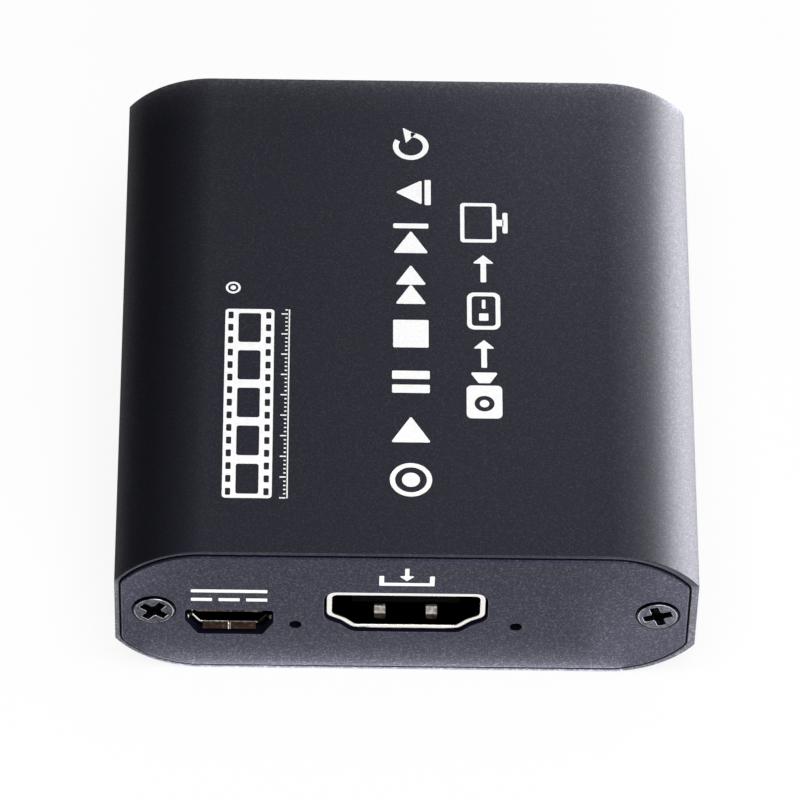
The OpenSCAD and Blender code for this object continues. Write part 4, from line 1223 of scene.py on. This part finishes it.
def path_signs():
    """A camera, a box and a screen, with arrows from one to the next."""
    camera = [
        [rectangle(-0.7, 0, 4.0, 3.4, 0.5), circle(-0.9, 0, 0.95)],
        [circle(-0.9, 0, 0.45)],
        plate_sign([(1.6, -0.55), (2.9, -1.35), (2.9, 1.35), (1.6, 0.55)], 0.15),
    ]
    box = [
        [rectangle(0, 0, 4.6, 3.2, 0.7), rectangle(0, 0, 3.7, 2.3, 0.35)],
        [rectangle(-0.75, 0, 0.9, 0.9, 0.1)], [rectangle(0.85, 0, 1.1, 0.35, 0.1)],
    ]
    screen = [
        [rectangle(0, 0.45, 5.0, 3.5, 0.35), rectangle(0, 0.45, 4.2, 2.7, 0.15)],
        [rectangle(0, -1.65, 0.8, 0.7, 0.1)], [rectangle(0, -2.15, 2.6, 0.5, 0.15)],
    ]
    return [camera, [arrow(1.7, 1.05, 0.27)], box, [arrow(1.7, 1.05, 0.27)], screen]


def film_sign(long, tall, frames, holes):
    """A strip of film: a solid bar with picture windows between two rows of small holes."""
    windows = [
        rectangle(x, 0, long / frames - 1.0, tall * 0.46, 0.25)
        for x in (np.arange(frames) + 0.5) * long / frames - long / 2
    ]
    sprockets = [
        rectangle(x, z, 0.85, 0.5, 0.12, 3)
        for x in (np.arange(holes) + 0.5) * long / holes - long / 2
        for z in (-tall * 0.385, tall * 0.385)
    ]
    return [[rectangle(0, 0, long, tall, 0.35), *windows, *sprockets]]


def ruler_sign(long, tall, ticks):
    """A ruled line: every fifth tick is a long one."""
    places = np.linspace(-long / 2 + 0.06, long / 2 - 0.06, ticks)
    heights = np.where(np.arange(ticks) % 5 == 0, tall, tall * 0.55)
    line = [rectangle(0, -tall / 2 + 0.06, long, 0.12, 0.03, 2)]
    marks = [
        [rectangle(x, -tall / 2 + 0.2 + (h - 0.2) / 2, 0.14, h - 0.2, 0.03, 2)]
        for x, h in zip(places, heights)
    ]
    return [line, *marks]


def mark_sign():
    """A small ring with a dot."""
    return [[circle(0, 0, 0.72, 32), circle(0, 0, 0.5, 32)], [circle(0, 0, 0.26, 24)]]


def tray_sign(way):
    """An open tray with an arrow into it or out of it."""
    tray = plate_sign([
        (-2.6, -1.3), (2.6, -1.3), (2.6, 0.2), (2.15, 0.2), (2.15, -0.85), (-2.15, -0.85),
        (-2.15, 0.2), (-2.6, 0.2),
    ], 0.06)
    return [tray, *shifted([turned(arrow(0.95, 0.75, 0.2), 90 * way)], 0, 0.4)]


def direct_current_sign():
    """A line over three dashes, the usual sign for direct current."""
    dashes = [[rectangle(x, -0.66, 2.0, 0.46, 0.08, 3)] for x in (-2.6, 0, 2.6)]
    return [[rectangle(0, 0.66, 7.2, 0.46, 0.08, 3)], *dashes]


def computer_sign():
    """A portable computer: a screen over a flat base."""
    return [
        [rectangle(0, 0.35, 3.4, 2.0, 0.2), rectangle(0, 0.35, 2.8, 1.4, 0.08)],
        plate_sign([(-2.5, -1.2), (2.5, -1.2), (2.0, -0.8), (-2.0, -0.8)], 0.06),
    ]


def in_metres(shapes):
    """Shapes given in millimetres."""
    return [[(points * MM, normals) for points, normals in shape] for shape in shapes]


def in_row(signs, places, z):
    """Signs with the places of their middles, side by side."""
    return [(sign, (x, z)) for sign, x in zip(signs, places)]


def build_print(name, plane, groups, ink, film):
    """A piece of thin ink: groups of shapes, each with the place of its middle in millimetres."""
    skin = Skin()
    for shapes, (x, z) in groups:
        slab(skin, plane, in_metres(shifted(shapes, x, z)), film, INK_SUNK)
    skin.object(name, ink)


# Studio


# How much of the floor's glow shows, and how far the floor lies below the box
FLOOR_GLOW, FLOOR_DROP = 0.88, 0.02 * MM
# The height of the light strips on the floor
STRIP_HEIGHT = 0.05 * MM


def build_world():
    """Soft studio light from all round: white at the horizon, half as bright behind the box, and
    dim over the viewer and on the left."""
    world = bpy.data.worlds.new("studio")
    bpy.context.scene.world = world
    g = Graph(world)
    way = {"Vector": g.add("ShaderNodeTexCoord", output="Generated")}
    x, y, z = (g.add("ShaderNodeSeparateXYZ", {}, way, axis) for axis in "XYZ")
    sky = g.span(y, -0.35, 0.3, 0.17, 0.59) * g.span(x, -0.25, -0.02, 0.02, 1)
    bright = g.span(z, 0.1, 0.55, 1, 0)
    strength = bright + (1 - bright) * sky
    g.end(g.add("ShaderNodeBackground", {}, {"Color": (1, 1, 1), "Strength": strength}))


def flat_square(name, corners, material):
    """A flat four-cornered stage piece."""
    mesh = bpy.data.meshes.new(name)
    mesh.from_pydata(corners, [], [(0, 1, 2, 3)])
    piece = bpy.data.objects.new(name, mesh)
    mesh.materials.append(material)
    bpy.context.scene.collection.objects.link(piece)
    return piece


def build_floor(settings):
    """A pale floor that shows white to the camera and in reflections, with its shadow kept, and a
    dark card beside the box that only reflections show."""
    g = finish("studio_floor")
    camera, glossy, through = (
        g.add("ShaderNodeLightPath", output=f"Is {kind} Ray")
        for kind in ("Camera", "Glossy", "Transmission")
    )
    seen = camera + glossy * g.span(g.axis("X"), -0.03, 0.03, 0.65, 1) + through
    paper = g.add("ShaderNodeBsdfDiffuse", {}, {"Color": settings.floor})
    glow = g.add("ShaderNodeEmission", {}, {"Color": (1, 1, 1), "Strength": 1.0})
    floor = g.end(g.add("ShaderNodeMixShader", {}, {0: seen * FLOOR_GLOW, 1: paper, 2: glow}))
    corners = (-3, -3), (3, -3), (3, 3), (-3, 3)
    flat_square("floor", [(x, y, -FLOOR_DROP) for x, y in corners], floor)
    g = finish("dark_card")
    dark = g.end(g.add("ShaderNodeBsdfDiffuse", {}, {"Color": (0.02, 0.02, 0.02)}))
    corners = (-0.15, 0.006), (0.4, 0.006), (0.4, 0.25), (-0.15, 0.25)
    card = flat_square("card", [(-0.045, y, z) for y, z in corners], dark)
    card.visible_camera = card.visible_shadow = card.visible_diffuse = False


def softbox(name, place, target, width, height, radiance, diffuse=True, shade=(1, 1, 1)):
    """A flat area light that faces a point and isn't itself seen. Its power is its radiance times
    pi times its area."""
    lamp = bpy.data.lights.new(name, "AREA")
    lamp.shape, lamp.size, lamp.size_y = "RECTANGLE", width, height
    lamp.energy, lamp.color = radiance * math.pi * width * height, shade
    piece = bpy.data.objects.new(name, lamp)
    bpy.context.scene.collection.objects.link(piece)
    way = np.array(place) - np.array(target)
    tilt = math.atan2(math.hypot(way[0], way[1]), way[2])
    turn = Euler((tilt, 0, math.atan2(way[1], way[0]) + math.pi / 2))
    piece.matrix_world = Matrix.Translation(place) @ turn.to_matrix().to_4x4()
    piece.visible_camera, piece.visible_diffuse = False, diffuse


def build_lights():
    """One light overhead and one before the front for the shades, two low ones for the gloss of
    the right side, and five strips on the floor for the gloss of the plate's foot and ends."""
    softbox("overhead_softbox", (0, -0.15, 0.5), (0, -0.02, 0), 0.45, 0.32, 4.6)
    softbox("front_softbox", (0.15, -0.6, 0.25), (0, 0, 0), 0.3, 0.2, 9.0)
    softbox(
        "right_softbox", (0.057, 0.056, 0.013), (0, 0.056, 0.013), 0.17, 0.026, 11.2, False,
        shade=(1, 0.985, 0.93),
    )
    softbox("rear_softbox", (0.038, 0.06, 0.055), (0.022, 0.025, 0.018), 0.06, 0.015, 2.6, False)
    for name, x, y, wide, deep, radiance in (
        ("front_strip", 0.01, -0.0304, 0.07, 0.0018, 1.1),
        ("foot_strip", -0.007, -0.0298, 0.056, 0.0006, 4.2),
        ("right_strip", 0.0415, -0.0335, 0.047, 0.008, 1.1),
        ("right_corner_strip", 0.0445, -0.0395, 0.04, 0.02, 2.2),
        ("left_corner_strip", -0.0445, -0.0395, 0.04, 0.02, 1.8),
    ):
        softbox(name, (x, y, STRIP_HEIGHT), (x, 0, 1), wide, deep, radiance, False)


def build_camera(scene, settings):
    """A long lens that looks down at the front."""
    camera = bpy.data.objects.new("camera", bpy.data.cameras.new("camera"))
    scene.collection.objects.link(camera)
    camera.data.lens, camera.data.sensor_width = settings.lens, 36
    turn = Euler((math.pi / 2 - settings.pitch, 0, -settings.yaw)).to_matrix()
    turn = turn @ Matrix.Rotation(settings.roll, 3, "Z")
    camera.matrix_world = Matrix.Translation(settings.camera_place) @ turn.to_4x4()
    camera.data.clip_start, camera.data.clip_end = 0.01, 10
    scene.camera = camera


# Operators: one for each piece or group of like pieces


class CAPTURE_OT_housing(bpy.types.Operator):
    """Build the extruded tube with its screw ports and board ledges"""

    bl_idname = "capture.housing"
    bl_label = "Housing"

    def execute(self, context):
        scene = context.scene
        build_housing(scene.capture_housing, scene.capture_screws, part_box("main_board"))
        return {"FINISHED"}


class CAPTURE_OT_plates(bpy.types.Operator):
    """Build the two sunk end plates with their holes"""

    bl_idname = "capture.plates"
    bl_label = "End Plates"

    def execute(self, context):
        scene = context.scene
        house, plate, screw = scene.capture_housing, scene.capture_plates, scene.capture_screws
        sockets = scene.capture_sockets
        video = rounded(VIDEO_CORNERS, VIDEO_RADII, sockets.video_sheet + plate.cutout_gap)
        data = rounded(DATA_CORNERS, DATA_RADII, sockets.data_sheet + plate.cutout_gap)
        power = rounded(POWER_CUTOUT, plate.power_corner)
        low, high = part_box("signal_indicator")
        lamp_x, lamp_z = (low[0] + high[0]) / 2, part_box("main_board")[1][2] + LAMP_RISE
        at = {name: (place[0], place[2]) for name, place in MOUNTS.items()}
        build_plate("front_end_plate", "front_plate", FRONT, [
            moved(video, *at["video_input"]), moved(power, *at["power_input"]),
            *(circle(x, lamp_z, plate.indicator_hole, 40) for x in (-lamp_x, lamp_x)),
        ], house, plate, screw)
        build_plate("rear_end_plate", "rear_plate", REAR, [
            moved(video, -at["video_output"][0], at["video_output"][1]),
            moved(data, -at["data_output"][0], at["data_output"][1]),
        ], house, plate, screw)
        return {"FINISHED"}


class CAPTURE_OT_screws(bpy.types.Operator):
    """Build the four countersunk screws"""

    bl_idname = "capture.screws"
    bl_label = "Screws"

    def execute(self, context):
        screw = context.scene.capture_screws
        steel = black_steel("blackened_screw", screw.colour)
        build_screws("front_plate_screws", "front_screws", FRONT, (53, 19), screw, steel)
        build_screws("rear_plate_screws", "rear_screws", REAR, (-15, 40), screw, steel)
        return {"FINISHED"}


class CAPTURE_OT_sockets(bpy.types.Operator):
    """Build the sheet shells of the video, data and power sockets"""

    bl_idname = "capture.sockets"
    bl_label = "Socket Shells"

    def execute(self, context):
        sockets = context.scene.capture_sockets
        nickel = plated_sheet("nickel_sheet", sockets.nickel, (0.045, 0.03, 0.022))
        tinned = plated_sheet("stained_sheet", sockets.nickel, (0.035, 0.021, 0.016))
        up, down = (0, 1), (0, -1)
        fingers = [(up, x, 2.275, 1.1) for x in (-2.45, 2.45)]
        fingers += [(down, x, 2.275, 1.1) for x in (-3.1, 3.1)]
        video = (
            VIDEO_CORNERS, VIDEO_RADII, fingers, (3, 9), sockets.video_sheet, sockets.video_length,
        )
        fingers = [(way, x, 2.56, 1.6) for way in (up, down) for x in (-3.3, 3.3)]
        fingers += [(way, 0, 6.25, 1.6) for way in ((1, 0), (-1, 0))]
        data = DATA_CORNERS, DATA_RADII, fingers, (7.5,), sockets.data_sheet, sockets.data_length
        for name, mount, plane, kind in (
            ("video_in", "video_input", FRONT, video), ("video_out", "video_output", REAR, video),
            ("data", "data_output", REAR, data),
        ):
            legged_shell(
                f"{name}_socket_shell", f"{name}_shell", plane, mount, kind, sockets, nickel
            )
        flared_shell(sockets, tinned)
        return {"FINISHED"}


class CAPTURE_OT_print(bpy.types.Operator):
    """Print the white signs on the top and on the end plates"""

    bl_idname = "capture.print"
    bl_label = "Printed Signs"

    def execute(self, context):
        settings = context.scene.capture_print
        ink = printing_ink("white_ink", settings.colour)
        controls, path = control_signs(), path_signs()
        at = {name: place[0] * PER_METRE for name, place in MOUNTS.items()}
        for name, plane, groups in (
            ("film_strip_print", TOP, [(film_sign(23, 4.7, 5, 15), (-11.5, 15.15))]),
            ("ruler_print", TOP, [(ruler_sign(23, 0.8, 47), (-11.5, 11.7))]),
            ("round_mark_print", TOP, [(mark_sign(), (2.65, 16.8))]),
            ("control_signs_print", TOP,
             in_row(controls, np.linspace(-20.6, 20.9, len(controls)), -0.3)),
            ("signal_path_print", TOP, in_row(path, (-10.4, -5.2, 0.1, 5.4, 11.2), -7.3)),
            ("front_signs_print", FRONT, [
                (tray_sign(-1), (at["video_input"], 14.5)),
                (direct_current_sign(), (at["power_input"], 11.4)),
            ]),
            ("rear_signs_print", REAR, [
                (tray_sign(1), (-at["video_output"], 14.5)),
                (computer_sign(), (-at["data_output"], 14.5)),
            ]),
        ):
            build_print(name, plane, groups, ink, settings.film)
        return {"FINISHED"}


class CAPTURE_OT_inside(bpy.types.Operator):
    """Give the board, its components and the sockets' insides their finishes"""

    bl_idname = "capture.inside"
    bl_label = "Board and Components"

    def execute(self, context):
        gold = context.scene.capture_sockets.gold
        black = moulded("black_insulator", (0.002, 0.002, 0.0024), 0.7, 2200, 0.015)
        tin = bare_metal("tinned_lead", (0.62, 0.62, 0.63), 0.36, (1, 1, 0.2))
        epoxy = moulded("chip_epoxy", (0.022, 0.022, 0.024), 0.6, 3200)
        can = bare_metal("drawn_can", (0.7, 0.71, 0.73), 0.26, (0.2, 0.2, 1))
        finishes = {
            "insulator": black, "base": black,
            "contacts": bare_metal("gold_flash", gold, 0.26, (1, 0.1, 1)),
            "board": solder_mask("solder_mask"),
            "chip": epoxy, "regulator": epoxy, "diode": epoxy, "arrays": epoxy,
            "leads": tin, "terminals": tin, "crystal": can, "can": can,
            "inductor": pressed_ferrite("pressed_ferrite"),
            "capacitors": moulded("fired_ceramic", (0.36, 0.22, 0.12), 0.5, 2600),
            "resistors": moulded("resistor_glaze", (0.02, 0.02, 0.022), 0.25, 2600),
        }
        lamps = {
            "power_indicator": lamp_resin("red_lamp_resin", (0.8, 0.55, 0.5)),
            "signal_indicator": lamp_resin("green_lamp_resin", (0.55, 0.75, 0.58)),
        }
        for name, node in frame["nodes"].items():
            if node.hide_render:
                continue
            node.data.materials.clear()
            node.data.materials.append(lamps.get(name) or finishes[name.split("_")[-1]])
        return {"FINISHED"}


class CAPTURE_OT_stage(bpy.types.Operator):
    """Set up the floor, the studio lights and the camera"""

    bl_idname = "capture.stage"
    bl_label = "Studio"

    def execute(self, context):
        settings = context.scene.capture_stage
        context.scene.view_settings.view_transform = "Standard"
        build_world()
        build_floor(settings)
        build_lights()
        build_camera(context.scene, settings)
        return {"FINISHED"}


# Sidebar and registration


class CAPTURE_PT_sidebar(bpy.types.Panel):
    """Lists the steps that build the box"""

    bl_label = "Capture Box"
    bl_idname = "CAPTURE_PT_sidebar"
    bl_space_type = "VIEW_3D"
    bl_region_type = "UI"
    bl_category = "Capture Box"

    def draw(self, context):
        for step in STEPS:
            self.layout.operator(step.bl_idname)
        for group in SETTINGS:
            settings = getattr(context.scene, group)
            box = self.layout.box()
            for key in settings.bl_rna.properties.keys():
                if key not in {"rna_type", "name"}:
                    box.prop(settings, key)


SETTINGS = {
    "capture_housing": HousingSettings, "capture_plates": PlateSettings,
    "capture_screws": ScrewSettings, "capture_sockets": SocketSettings,
    "capture_print": PrintSettings, "capture_stage": StageSettings,
}
STEPS = (
    CAPTURE_OT_housing, CAPTURE_OT_plates, CAPTURE_OT_screws, CAPTURE_OT_sockets,
    CAPTURE_OT_print, CAPTURE_OT_inside, CAPTURE_OT_stage,
)


def register():
    """Adds the classes, and the settings to the scene."""
    for group in (*SETTINGS.values(), *STEPS, CAPTURE_PT_sidebar):
        bpy.utils.register_class(group)
    for name, group in SETTINGS.items():
        setattr(bpy.types.Scene, name, PointerProperty(type=group))


def unregister():
    """Takes the settings and the classes away again."""
    for name in SETTINGS:
        delattr(bpy.types.Scene, name)
    for group in (CAPTURE_PT_sidebar, *reversed(STEPS), *reversed(SETTINGS.values())):
        bpy.utils.unregister_class(group)


def main():
    """Builds the box step by step."""
    register()
    for step in STEPS:
        operator = getattr(bpy.ops.capture, step.bl_idname.split(".")[1])
        if operator() != {"FINISHED"}:
            raise RuntimeError(f"{step.bl_label} was not built")
    bpy.context.view_layer.update()


if __name__ == "__main__":
    main()
